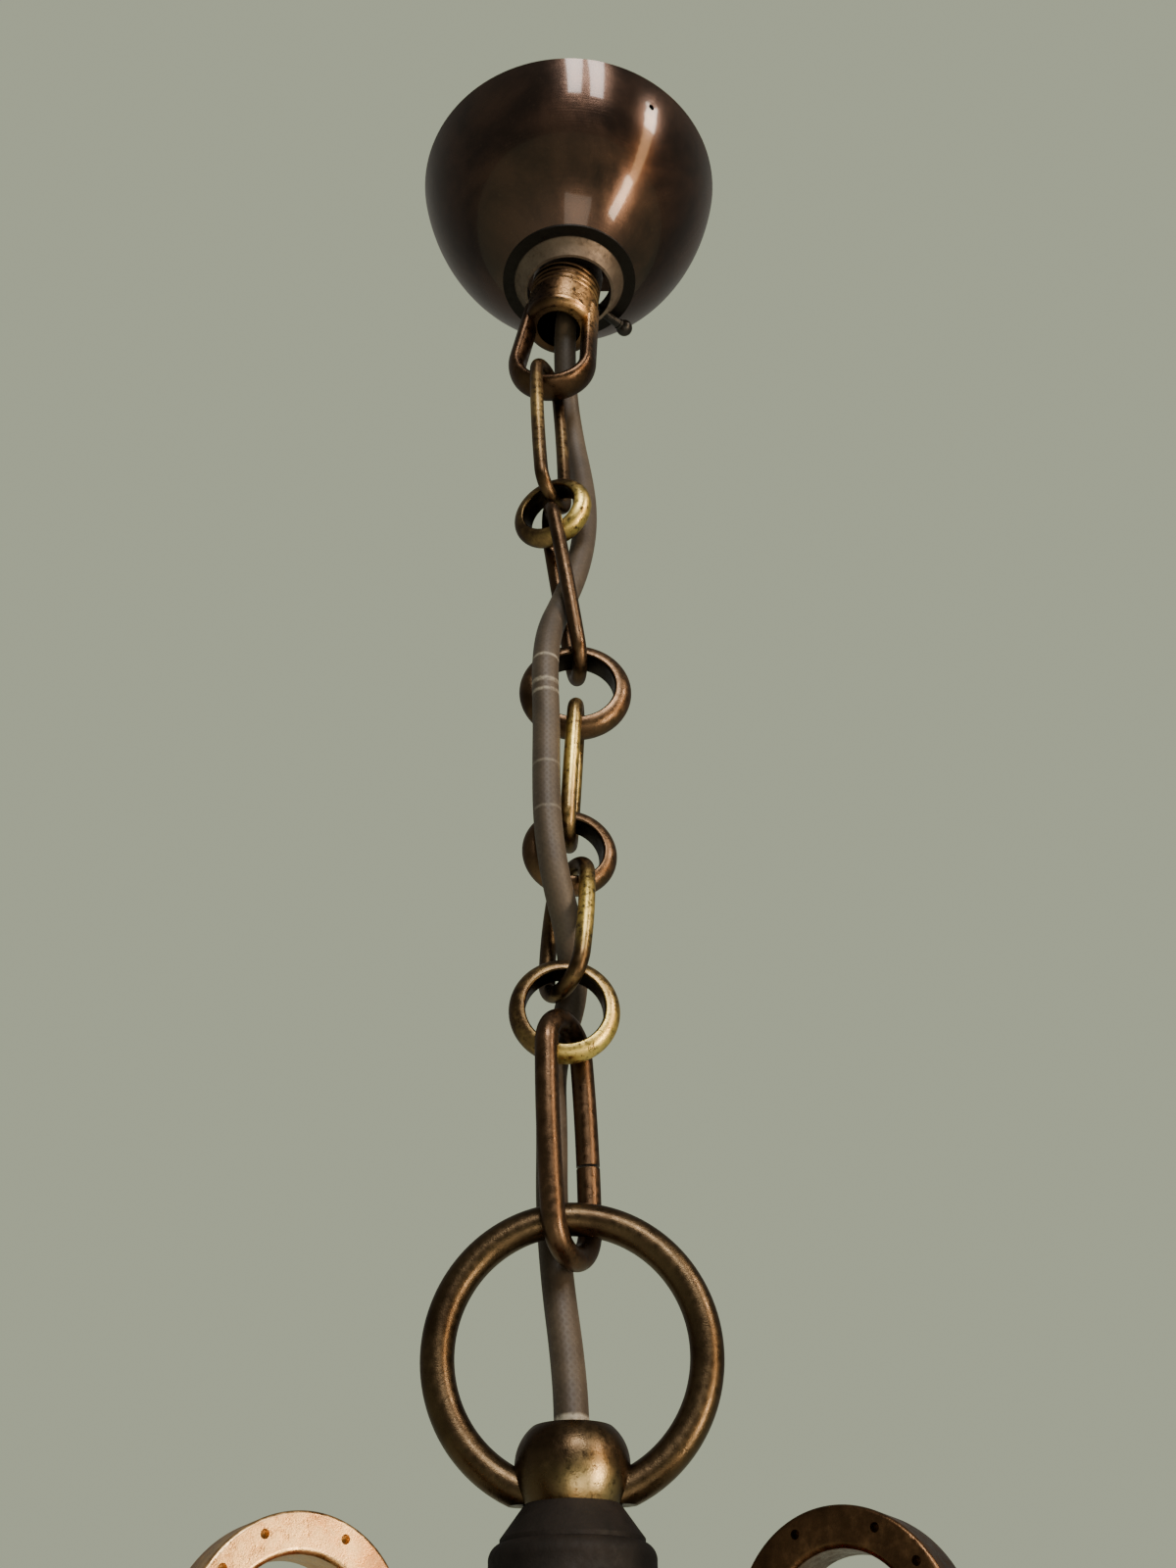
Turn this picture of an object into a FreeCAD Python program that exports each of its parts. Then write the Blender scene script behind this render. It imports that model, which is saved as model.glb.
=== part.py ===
import FreeCAD, Part
import math
import os

from FreeCAD import Placement, Rotation
from FreeCAD import Vector as V

# Hanging sanctuary lamp. Millimetres, +Z up, origin on the ceiling at the centre of the canopy's rim.
# +X is to the right and -Y towards the viewer. All the rest hangs below the ceiling plane z = 0.

# ---------------------------------------------------------------- driving dimensions

GAP = 0.3                    # play between pieces that swing against each other
RUNNING = 0.05               # radial play of a turning or sliding fit
SEAM = 0.02                  # play between pieces that are screwed up tight

# ceiling plate and the threaded stem that all hangs on
PLATE_LENGTH = 84.0
PLATE_WIDTH = 18.0
PLATE_THICKNESS = 2.5
PLATE_HOLE = 5.2
PLATE_HOLE_PITCH = 60.0
STEM_DIAMETER = 10.0
STEM_BORE = 8.4
STEM_TOP = -0.5
STEM_BOTTOM = -54.0
STEM_WINDOW_WIDTH = 7.6      # slot through which the flex's cores leave the stem
STEM_WINDOW_HEIGHT = 24.0
NUT_FLATS = 14.0
NUT_HEIGHT = 4.0

# terminal block under the ceiling plate
BLOCK_LENGTH = 30.0
BLOCK_WIDTH = 14.0
BLOCK_HEIGHT = 12.0
BLOCK_WAYS = 3
BLOCK_SCREW = 3.2
BLOCK_WELL = 5.0
BLOCK_ENTRY = 3.4
BLOCK_STANDOFF = 13.0        # stem's axis to the block's near face
BLOCK_CLEAR = 1.5            # ceiling plate to the block's top
CORE_DIAMETER = 2.2
CORE_PITCH = 2.3

# canopy cup: a spun bell that covers the ceiling plate
CANOPY_RIM = 99.4
CANOPY_FOOT = 43.5
CANOPY_HEIGHT = 46.3
CANOPY_WALL = 1.2
CANOPY_BULGE = 5.2           # how far the bell's side stands out from a plain cone
CANOPY_FOOT_CLEAR = 2.7      # play of the canopy's foot hole round the neck
CANOPY_PIN_HOLE = 2.0
CANOPY_PIN_DROP = 10.0
CANOPY_PIN_AZIMUTH = -55.0

# collar that carries the canopy, clamped on the neck by one ball-headed screw
COLLAR_HEIGHT = 5.8
COLLAR_STEP = 35.6           # across the collar where its flat shoulder turns down into the cone
COLLAR_FOOT = 29.2
COLLAR_CLEAR = 2.4           # play of the collar's bore round the neck
COLLAR_EDGE = 0.8
CLAMP_DROP = 3.0             # collar's top to the clamp screw's axis
CLAMP_SHANK = 3.0
CLAMP_TIP_GAP = 0.4
CLAMP_BALL = 5.4
CLAMP_AZIMUTH = 42.0
CLAMP_REACH = 24.6           # from the neck's axis to the middle of the ball

# loop fitting: hollow neck with a stout loop cast on its lower end
NECK_DIAMETER = 22.4
NECK_TOP = -42.0
NECK_HEIGHT = 26.0
NECK_LIP = 2.5               # height of the neck's rounded lower edge
NECK_MOUTH = 14.0            # the neck is bored wider at its lower end
NECK_MOUTH_DEPTH = 9.0
REED_COUNT = 4
REED_PITCH = 2.2
REED_DEPTH = 0.7
REED_DROP = 10.0             # neck's top to its first groove
LOOP_HOLE = 17.0             # width of the loop's opening
LOOP_THICK = 5.3             # thickness of the loop's bar, seen from the front
LOOP_WIDE = 9.6              # thickness of the loop's bar, front to back
LOOP_DROP = 87.2             # ceiling to the middle of the loop's round bottom
LOOP_TAPER = 4.0             # lean of each cheek towards the neck, degrees
LOOP_LEAN = 6.8              # the casting hangs this far out of plumb, degrees
LOOP_YAW = -5.0
LOOP_SEAT = 0.25             # the loop bar's middle above the middle of the first link's end

# chain: five wire links with four turned rings between them.
# Each link: outside length, outside width, wire, and how much its sides bow out past its ends.
LINKS = {
    "link_1": {"length": 61.5, "width": 20.4, "wire": 4.0, "bow": 0.7, "yaw": 64.0},
    "link_2": {"length": 60.0, "width": 19.4, "wire": 4.0, "bow": 0.8, "yaw": -84.0},
    "link_3": {"length": 45.0, "width": 17.6, "wire": 4.0, "bow": 0.6, "yaw": 88.0},
    "link_4": {"length": 41.5, "width": 20.2, "wire": 4.0, "bow": 0.6, "yaw": -56.0},
    "link_5": {"length": 57.5, "width": 22.6, "wire": 5.2, "bow": 0.6, "yaw": 62.0},
}
# Each ring: outside diameter, hole, width along its axis.
RINGS = {
    "ring_1": {"outside": 23.8, "hole": 16.0, "wide": 6.6, "yaw": -24.0},
    "ring_2": {"outside": 29.8, "hole": 20.8, "wide": 7.4, "yaw": 2.0},
    "ring_3": {"outside": 23.8, "hole": 16.0, "wide": 6.6, "yaw": 12.0},
    "ring_4": {"outside": 25.4, "hole": 18.0, "wide": 6.0, "yaw": 4.0},
}
RING_EDGE = 0.6              # rounding of a ring's inner edges
WIRE_LAP = 0.50              # share of the wire's thickness over which an askew ring bears on it
LINK_SPLIT = 0.6             # open butt joint of the lowest link
LINK_SPLIT_DROP = 5.5        # how far that joint is below the link's middle

# where the middle of each ring stands off the plumb line, pushed aside by the stiff flex
RING_SWAY = {
    "ring_1": (-4.9, -1.0),
    "ring_2": (1.3, 2.2),
    "ring_3": (-0.3, 2.4),
    "ring_4": (-1.5, -2.4),
}

# top ring of the lamp, cast in one with its knuckle
TOP_RING_OUTSIDE = 61.0
TOP_RING_THICK = 6.9
KNUCKLE_DIAMETER = 22.4
KNUCKLE_HEIGHT = 13.8
KNUCKLE_CROWN = 16.0
KNUCKLE_FOOT = 18.6
KNUCKLE_BORE = 8.0
KNUCKLE_SINK = 2.6           # how far the top ring, if it were whole, would reach below the knuckle

# body of the lamp: a stepped cap over a hub, on one threaded tube
CAP_STEP = 27.5
CAP_CONE_HEIGHT = 5.8
CAP_WAIST = 31.6
CAP_WAIST_DROP = 9.8
CAP_SKIRT = 50.0
CAP_HEIGHT = 21.0
CAP_WALL = 1.6
CAP_SEAT = 3.0               # thickness of the cap's crown, which the tube passes through
HUB_DIAMETER = 38.0
HUB_HEIGHT = 18.0
HUB_DROP = 17.5              # cap's top to the hub's top
HUB_SPIGOT = 9.0
HUB_SPIGOT_DIAMETER = 18.0
TUBE_DIAMETER = 10.0
TUBE_BORE = 8.0
TUBE_LENGTH = 62.0
TUBE_ENGAGED = 6.0           # thread of the tube inside the knuckle

# three cast brackets, each an arm with a pierced roundel that stands on the gallery
BRACKET_COUNT = 3
CAP_CLEAR = 10.1             # cap's skirt to a roundel
BRACKET_AZIMUTH = -150.0     # of the first bracket
ROUNDEL_OUTSIDE = 39.0
ROUNDEL_HOLE = 25.6
ROUNDEL_WIDE = 11.0
ROUNDEL_DROP = 24.5          # cap's top to the roundel's middle
ROUNDEL_PIN = 1.6
ROUNDEL_PIN_DEPTH = 2.0
ROUNDEL_PIN_CIRCLE = 34.0
ROUNDEL_PINS_A_SIDE = 6
ROUNDEL_FIRST_PIN = 25.0
ROUNDEL_PIN_STEP = 29.0
ARM_HEIGHT = 9.0
ARM_WIDTH = 7.0
ARM_ROOT = 9.0               # lamp's axis to the arm's inner end
ARM_SCREW_REACH = 13.5       # lamp's axis to an arm's screw
FOOT_LENGTH = 18.0
FOOT_HEIGHT = 5.0
FOOT_SINK = 2.2              # how far the roundel is let into its foot
BRACKET_SCREW = 4.0
BRACKET_SCREW_HEAD = 7.0

# spun gallery and the ruby glass that hangs in it by its rim
GALLERY_REACH = 10.4         # middle of a roundel to the gallery's outside
GALLERY_HEIGHT = 22.0
GALLERY_WALL = 1.8
GALLERY_SHELF = 23.0         # width of the gallery's flat top
GALLERY_BEAD = 4.0
GLASS_PLAY = 4.2             # inside of the gallery's skirt to the glass's rim
GLASS_RIM_DROP = 3.4         # gallery's flat top to the glass's rim, room for the foot screws' heads
GLASS_RIM_HEIGHT = 5.0
GLASS_LIP = 5.0              # how far the glass's rim stands out from its neck
GLASS_NECK_HEIGHT = 17.0
GLASS_BELLY = 122.0
GLASS_BELLY_DROP = 48.0
GLASS_HEIGHT = 128.0
GLASS_FOOT = 44.0
GLASS_WALL = 3.0
GLASS_BELLY_BAND = 44.0      # height of the glass's middle band
GLASS_SCREW = 3.0
GLASS_SCREW_HEAD = 6.0
GLASS_SCREW_REACH = 8.5      # how far a glass screw reaches in from the gallery's outside

# lampholder on the end of the tube, with its bulb
HOLDER_DIAMETER = 29.0
HOLDER_HEIGHT = 30.0
HOLDER_WALL = 1.5
HOLDER_NECK = 16.0
HOLDER_NECK_HEIGHT = 9.0
INSERT_HEIGHT = 9.0
CONTACT_DIAMETER = 3.0
CONTACT_HEIGHT = 3.5
CONTACT_PITCH = 10.0
SHADE_RING = 35.0
SHADE_RING_HEIGHT = 5.0
BULB_CAP = 22.0
BULB_CAP_HEIGHT = 17.0
BULB_DIAMETER = 36.0
BULB_LENGTH = 66.0           # glass only

# flex: one round cable from the stem, through the chain and down into the knuckle
FLEX_DIAMETER = 7.0
FLEX_CLEAR = 0.5
FLEX_TOP = -40.0             # where the sheath ends inside the stem
FLEX_ROUTE = [
    (0.0, 0.0, FLEX_TOP),
    (0.0, 0.0, -55.0),
    (-1.6, 1.8, -72.0),
    (-1.3, 10.6, -89.0),
    (0.9, 14.9, -106.0),
    (3.4, 13.4, -124.0),
    (4.6, 9.8, -141.0),
    (4.0, 6.2, -157.0),
    (1.8, 3.2, -172.0),
    (-2.0, 0.4, -186.0),
    (-5.7, -4.5, -200.0),
    (-6.6, -7.3, -215.0),
    (-6.0, -6.4, -231.0),
    (-6.0, -6.8, -247.0),
    (-5.6, -7.0, -263.0),
    (-3.6, -5.9, -278.0),
    (0.0, 0.3, -291.0),
    (0.7, 6.4, -304.0),
    (-5.0, 7.8, -319.0),
    (-4.4, 6.2, -337.0),
    (-4.5, 7.6, -353.0),
    (-3.2, 7.5, -369.0),
    (-1.0, 3.8, -385.0),
    (0.0, 0.0, -398.0),
    (0.0, 0.0, -411.0),
]

# sizes that follow from the others
BRACKET_REACH = CAP_SKIRT / 2 + CAP_CLEAR + ROUNDEL_OUTSIDE / 2
GALLERY_OUTSIDE = 2 * (BRACKET_REACH + GALLERY_REACH)
GALLERY_OPENING = GALLERY_OUTSIDE - 2 * GALLERY_SHELF
GLASS_RIM = GALLERY_OUTSIDE - 2 * GALLERY_WALL - 2 * GLASS_PLAY
GLASS_NECK = GLASS_RIM - 2 * GLASS_LIP

# ---------------------------------------------------------------- helpers

PARTS = {}


def corner(point):
    """A point of a turned outline, given as (radius, z)."""
    return V(point[0], 0, point[1])


def outline(start, *steps):
    """Closed face in the XZ plane. A step is the next corner, or for an arc the point passed and the next."""
    edges = []
    here = corner(start)
    for step in steps + (start,):
        if isinstance(step[0], tuple):
            past, end = corner(step[0]), corner(step[1])
            edges.append(Part.Arc(here, past, end).toShape())
        else:
            end = corner(step)
            if here.distanceToPoint(end) > 1e-6:
                edges.append(Part.makeLine(here, end))
        here = end
    return Part.Face(Part.Wire(edges))


def turned(start, *steps):
    """Solid turned about the Z axis from an outline of (radius, z) corners."""
    return outline(start, *steps).revolve(V(0, 0, 0), V(0, 0, 1), 360)


def rod(diameter, low, high, at=(0, 0)):
    """Upright cylinder between two heights."""
    return Part.makeCylinder(diameter / 2, high - low, V(at[0], at[1], low))


def tube(diameter, bore, low, high):
    """Upright tube between two heights."""
    return rod(diameter, low, high).cut(rod(bore, low - 1, high + 1))


def hexagon(flats, low, high):
    """Upright hexagonal bar."""
    radius = flats / math.sqrt(3)
    points = [around(corner_angle, radius, low) for corner_angle in range(0, 361, 60)]
    return Part.Face(Part.makePolygon(points)).extrude(V(0, 0, high - low))


def placed(shape, at=(0, 0, 0), yaw=0.0, lean=None):
    """A copy turned about Z by yaw, then leaned from plumb along the vector lean, then moved."""
    turn = Rotation(V(0, 0, 1), yaw)
    if lean is not None:
        turn = Rotation(V(0, 0, 1), V(*lean)).multiply(turn)
    out = shape.copy()
    out.Placement = Placement(V(*at), turn).multiply(shape.Placement)
    return out


def around(azimuth, radius, z=0.0):
    """Point at an azimuth, counted anticlockwise from +X."""
    a = math.radians(azimuth)
    return V(radius * math.cos(a), radius * math.sin(a), z)


def save(name, *solids):
    """Keeps a node's solids for export."""
    PARTS[name] = solids[0] if len(solids) == 1 else Part.makeCompound(list(solids))


def swept(points, diameter):
    """Round bar along straight runs joined by tangent arcs, each arc as large as its shorter run allows."""
    points = [V(*p) for p in points]
    edges = []
    radii = []
    here = points[0]
    for before, turn, after in zip(points, points[1:], points[2:]):
        back = (before - turn)
        ahead = (after - turn)
        reach = 0.45 * min(back.Length, ahead.Length)
        bend = math.pi - back.getAngle(ahead)
        radii.append(reach / math.tan(bend / 2))
        back.normalize()
        ahead.normalize()
        start = turn + back * reach
        end = turn + ahead * reach
        inward = back + ahead
        inward.normalize()
        depth = radii[-1] / math.cos(bend / 2) - radii[-1]
        edges.append(Part.makeLine(here, start))
        edges.append(Part.Arc(start, turn + inward * depth, end).toShape())
        here = end
    edges.append(Part.makeLine(here, points[-1]))
    path = Part.Wire(edges)
    ring = Part.Wire(Part.makeCircle(diameter / 2, points[0], points[1] - points[0]))
    bar = path.makePipeShell([ring], True, False)
    return bar, path, radii


# ---------------------------------------------------------------- ceiling parts

def ceiling_parts():
    """Plate, stem and nut, all inside the canopy."""
    low = -PLATE_THICKNESS
    plate = Part.makeBox(PLATE_LENGTH, PLATE_WIDTH, PLATE_THICKNESS)
    plate.translate(V(-PLATE_LENGTH / 2, -PLATE_WIDTH / 2, low))
    uprights = [e for e in plate.Edges if e.BoundBox.ZLength > PLATE_THICKNESS / 2]
    plate = plate.makeFillet(PLATE_WIDTH / 2 - 1, uprights)
    plate = plate.cut(rod(STEM_DIAMETER + 2 * SEAM, low - 1, 1))
    for x in (-PLATE_HOLE_PITCH / 2, PLATE_HOLE_PITCH / 2):
        plate = plate.cut(rod(PLATE_HOLE, low - 1, 1, (x, 0)))
    save("ceiling_plate", plate)

    window = Part.makeBox(STEM_WINDOW_WIDTH, STEM_DIAMETER, STEM_WINDOW_HEIGHT)
    window.translate(V(-STEM_WINDOW_WIDTH / 2, 0, FLEX_TOP))
    save("stem_tube", tube(STEM_DIAMETER, STEM_BORE, STEM_BOTTOM, STEM_TOP).cut(window))
    nut = hexagon(NUT_FLATS, low - SEAM - NUT_HEIGHT, low - SEAM)
    save("stem_nut", nut.cut(rod(STEM_DIAMETER + 2 * SEAM, -2 * NUT_HEIGHT, 0)))


def pan_screw(shank, head, height, length):
    """Slotted pan-head screw, pointing up, with the end of its shank at the origin."""
    screw = turned(
        (0, 0),
        (0, -length - height),
        (head * 0.15, -length - height),
        ((head * 0.41, -length - height * 0.65), (head / 2, -length)),
        (shank / 2, -length),
        (shank / 2, 0),
    )
    slot = Part.makeBox(head + 2, head * 0.12, height * 0.5)
    slot.translate(V(-head / 2 - 1, -head * 0.06, -length - height - 0.1))
    return screw.cut(slot)


def terminal_parts():
    """Three-way terminal block beside the stem, its screws, and the flex's cores that run to it."""
    top = -PLATE_THICKNESS - BLOCK_CLEAR
    low = top - BLOCK_HEIGHT
    block = Part.makeBox(BLOCK_LENGTH, BLOCK_WIDTH, BLOCK_HEIGHT)
    block.translate(V(-BLOCK_LENGTH / 2, BLOCK_STANDOFF, low))
    block = block.makeFillet(1.2, [e for e in block.Edges if e.BoundBox.ZLength > BLOCK_HEIGHT / 2])
    screws = []
    cores = []
    for way in (-1, 0, 1):
        x = way * BLOCK_LENGTH / BLOCK_WAYS
        y = BLOCK_STANDOFF + BLOCK_WIDTH / 2
        z = top - BLOCK_HEIGHT / 3
        block = block.cut(rod(BLOCK_SCREW + 1.0, low - 1, low + BLOCK_WELL, (x, y)))
        hole = Part.makeCylinder(BLOCK_ENTRY / 2, BLOCK_WIDTH / 2, V(x, BLOCK_STANDOFF - 1, z), V(0, 1, 0))
        block = block.cut(hole)
        screws.append(rod(BLOCK_SCREW, low + 0.6, low + BLOCK_WELL, (x, y)))
        aside = way * CORE_PITCH
        route = [
            (aside, 0.0, FLEX_TOP + SEAM),
            (aside, 0.0, FLEX_TOP + 6),
            (aside, 4.0, FLEX_TOP + 15),
            ((aside + x) / 2, 7.5, z - 7),
            (x, BLOCK_STANDOFF - 3.5, z),
            (x, BLOCK_STANDOFF + 4.0, z),
        ]
        cores.append(swept(route, CORE_DIAMETER)[0])
    save("terminal_block", block)
    save("terminal_screws", *screws)
    save("core_wires", *cores)


# ---------------------------------------------------------------- canopy

def canopy_side(shrink=0.0):
    """Outer corners of the bell, or of its inside when shrunk by the wall: rim, point on the bulge, foot."""
    rim = (CANOPY_RIM / 2 - shrink, 0.0)
    foot = (CANOPY_FOOT / 2 - shrink * 0.6, -CANOPY_HEIGHT + shrink)
    along = (foot[0] - rim[0], foot[1] - rim[1])
    length = math.hypot(*along)
    middle = ((rim[0] + foot[0]) / 2, (rim[1] + foot[1]) / 2)
    bulge = (middle[0] - CANOPY_BULGE * along[1] / length, middle[1] + CANOPY_BULGE * along[0] / length)
    return rim, bulge, foot


def canopy_parts():
    """Spun bell with an open rim, and the collar under it."""
    rim, bulge, foot = canopy_side()
    inner_rim, inner_bulge, inner_foot = canopy_side(CANOPY_WALL)
    hole = NECK_DIAMETER / 2 + CANOPY_FOOT_CLEAR
    cup = turned(
        rim,
        (bulge, foot),
        (hole, foot[1]),
        (hole, inner_foot[1]),
        inner_foot,
        (inner_bulge, inner_rim),
    )
    pin_from = V(0, 0, -CANOPY_PIN_DROP)
    pin = Part.makeCylinder(CANOPY_PIN_HOLE / 2, CANOPY_RIM, pin_from, around(CANOPY_PIN_AZIMUTH, 1))
    save("canopy_cup", cup.cut(pin))

    top = -CANOPY_HEIGHT - SEAM
    low = top - COLLAR_HEIGHT
    inset = COLLAR_EDGE
    bore = NECK_DIAMETER / 2 + COLLAR_CLEAR
    collar = turned(
        (bore, top),
        (CANOPY_FOOT / 2, top),
        (CANOPY_FOOT / 2, top - inset),
        (COLLAR_STEP / 2, top - inset),
        (COLLAR_FOOT / 2, low),
        (bore, low),
    )
    boss_z = top - CLAMP_DROP
    collar = collar.cut(along_clamp(CLAMP_SHANK + 2 * RUNNING, 0.0, CANOPY_FOOT, boss_z))
    save("collar", collar)

    tip = NECK_DIAMETER / 2 + CLAMP_TIP_GAP
    shank = along_clamp(CLAMP_SHANK, tip, CLAMP_REACH - CLAMP_BALL / 3, boss_z)
    waist = along_clamp(CLAMP_BALL * 0.66, CLAMP_REACH - CLAMP_BALL / 2, CLAMP_REACH, boss_z)
    ball = Part.makeSphere(CLAMP_BALL / 2, around(CLAMP_AZIMUTH, CLAMP_REACH, boss_z))
    save("clamp_screw", shank.fuse([waist, ball]).removeSplitter())


def along_clamp(diameter, start, end, z):
    """Round bar lying along the clamp screw's axis."""
    near = around(CLAMP_AZIMUTH, start, z)
    return Part.makeCylinder(diameter / 2, end - start, near, around(CLAMP_AZIMUTH, 1))


# ---------------------------------------------------------------- loop fitting

def loop_bar():
    """Bar of the loop: down one cheek, round the bottom and up the other, with an oval section."""
    radius = (LOOP_HOLE + LOOP_THICK) / 2
    slope = math.radians(LOOP_TAPER)
    touch = V(-radius * math.cos(slope), 0, -LOOP_DROP + radius * math.sin(slope))
    rise = NECK_TOP - NECK_HEIGHT + 5.0 - touch.z
    start = touch + V(rise * math.tan(slope), 0, rise)
    other_touch = V(-touch.x, 0, touch.z)
    other_end = V(-start.x, 0, start.z)
    path = Part.Wire([
        Part.makeLine(start, touch),
        Part.Arc(touch, V(0, 0, -LOOP_DROP - radius), other_touch).toShape(),
        Part.makeLine(other_touch, other_end),
    ])
    oval = Part.Ellipse(V(0, 0, 0), LOOP_WIDE / 2, LOOP_THICK / 2).toShape()
    section = Part.Wire(oval)
    down = (touch - start).normalize()
    frame = Rotation(V(0, 1, 0), down.cross(V(0, 1, 0)), down, "ZXY")
    section.Placement = Placement(start, frame)
    return path.makePipeShell([section], True, False)


def loop_fitting(flex_way):
    """Reeded hollow neck with its loop, a little out of plumb. Its thread and the flex's way are upright."""
    radius = NECK_DIAMETER / 2
    low = NECK_TOP - NECK_HEIGHT
    neck = turned(
        (0, NECK_TOP),
        (radius - 1, NECK_TOP),
        (radius, NECK_TOP - 1),
        (radius, low + 1),
        ((radius - 0.4, low - 1.2), (radius - NECK_LIP, low - NECK_LIP)),
        (0, low - NECK_LIP),
    )
    for index in range(REED_COUNT):
        z = NECK_TOP - REED_DROP - index * REED_PITCH
        groove = Part.makeTorus(radius + REED_DEPTH * 0.4, REED_DEPTH * 1.1, V(0, 0, z))
        neck = neck.cut(groove)
    casting = neck.fuse(loop_bar())
    casting = casting.cut(rod(NECK_MOUTH, low - NECK_LIP - 1, low - NECK_LIP + NECK_MOUTH_DEPTH))
    pivot = V(0, 0, NECK_TOP)
    casting.rotate(V(0, 0, 0), V(0, 0, 1), LOOP_YAW)
    casting.rotate(pivot, V(0, 1, 0), LOOP_LEAN)
    casting = casting.cut(rod(STEM_DIAMETER + 2 * SEAM, STEM_BOTTOM - SEAM, NECK_TOP + 5))
    return casting.cut(flex_way).removeSplitter()


def leaned(point):
    """Where a point of the loop casting comes to once the casting hangs out of plumb."""
    turn = Rotation(V(0, 1, 0), LOOP_LEAN)
    pivot = V(0, 0, NECK_TOP)
    return pivot + turn.multVec(V(*point) - pivot)


# ---------------------------------------------------------------- chain

def link(length, width, wire, bow, **_):
    """Oval link of round wire, upright in the XZ plane about the origin: round ends joined by bowed sides."""
    half = (length - wire) / 2
    reach = (width - wire) / 2
    rise = half - (reach - bow)
    inset = (rise ** 2 - bow ** 2) / (2 * bow)
    slope = math.atan2(rise, inset)
    x = (reach + inset) * math.cos(slope) - inset
    z = (reach + inset) * math.sin(slope)
    touches = [V(x, 0, z), V(-x, 0, z), V(-x, 0, -z), V(x, 0, -z)]
    past = [V(0, 0, half), V(-reach, 0, 0), V(0, 0, -half), V(reach, 0, 0)]
    edges = [Part.Arc(touches[i], past[i], touches[(i + 1) % 4]).toShape() for i in range(4)]
    section = Part.Wire(Part.makeCircle(wire / 2, touches[0], V(rise - z, 0, x)))
    return Part.Wire(edges).makePipeShell([section], True, False)


def split_link(spec):
    """The lowest link, with the open butt joint by which it is hooked on."""
    body = link(**spec)
    cut = Part.makeBox(spec["wire"] * 2, spec["wire"] * 2, LINK_SPLIT)
    cut.translate(V(spec["width"] / 2 - spec["wire"] * 1.5, -spec["wire"], -LINK_SPLIT_DROP))
    return body.cut(cut)


def ring(outside, hole, wide, **_):
    """Turned ring standing in the XZ plane: flat inside, crisp rounded inner edges and a round outside."""
    inner, outer, half = hole / 2, outside / 2, wide / 2
    turn = RING_EDGE * (1 - math.sqrt(0.5))
    face = outline(
        (inner, half - RING_EDGE),
        (inner, RING_EDGE - half),
        ((inner + turn, turn - half), (inner + RING_EDGE, -half)),
        ((outer, 0.0), (inner + RING_EDGE, half)),
        ((inner + turn, half - turn), (inner, half - RING_EDGE)),
    )
    body = face.revolve(V(0, 0, 0), V(0, 0, 1), 360)
    body.rotate(V(0, 0, 0), V(1, 0, 0), 90)
    return body


def end_bearing(spec):
    """Radius about the middle of a link's round end that what lies in the end keeps within."""
    return spec["width"] / 2 - spec["wire"] - spec["bow"] - GAP


def end_to_end(spec):
    """Distance between the middles of a link's two round ends."""
    return spec["length"] - spec["width"] + 2 * spec["bow"]


def seat(link_spec, ring_spec):
    """Height between a link's end middle and the ring's flat that bears on the link with its two edges.

    A ring that crosses the link askew lies wider across it, and wider again over the wire's thickness.
    """
    crossing = math.radians(link_spec["yaw"] - ring_spec["yaw"])
    flat = (ring_spec["wide"] / 2 - RING_EDGE / 2) / abs(math.sin(crossing))
    askew = WIRE_LAP * link_spec["wire"] / abs(math.tan(crossing))
    return math.sqrt(max(end_bearing(link_spec) ** 2 - (flat + askew) ** 2, 0.0))


def hang_chain():
    """Places every link and ring from the loop down. Returns each one's top point, bottom point and shape."""
    names = list(LINKS)
    rings = list(RINGS)
    bar = LOOP_DROP + (LOOP_HOLE + LOOP_THICK) / 2
    top = leaned((0, 0, -bar - LOOP_SEAT))
    placed_members = {}
    for index, name in enumerate(names):
        spec = LINKS[name]
        length = end_to_end(spec)
        sway = RING_SWAY[rings[index]] if index < len(rings) else (0.0, 0.0)
        aside = V(sway[0] - top.x, sway[1] - top.y, 0)
        bottom = V(sway[0], sway[1], top.z - math.sqrt(length ** 2 - aside.Length ** 2))
        shape = split_link(spec) if name == names[-1] else link(**spec)
        middle = (top + bottom) / 2
        link_shape = placed(shape, tuple(middle), spec["yaw"], tuple(top - bottom))
        placed_members[name] = (top, bottom, link_shape)
        if index == len(rings):
            return placed_members
        ring_spec = RINGS[rings[index]]
        drop = seat(spec, ring_spec) + ring_spec["hole"] / 2
        centre = bottom - V(0, 0, drop)
        ring_shape = placed(ring(**ring_spec), tuple(centre), ring_spec["yaw"])
        placed_members[rings[index]] = (bottom, centre, ring_shape)
        top = centre - V(0, 0, ring_spec["hole"] / 2 + seat(LINKS[names[index + 1]], ring_spec))


# ---------------------------------------------------------------- lamp body

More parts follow.
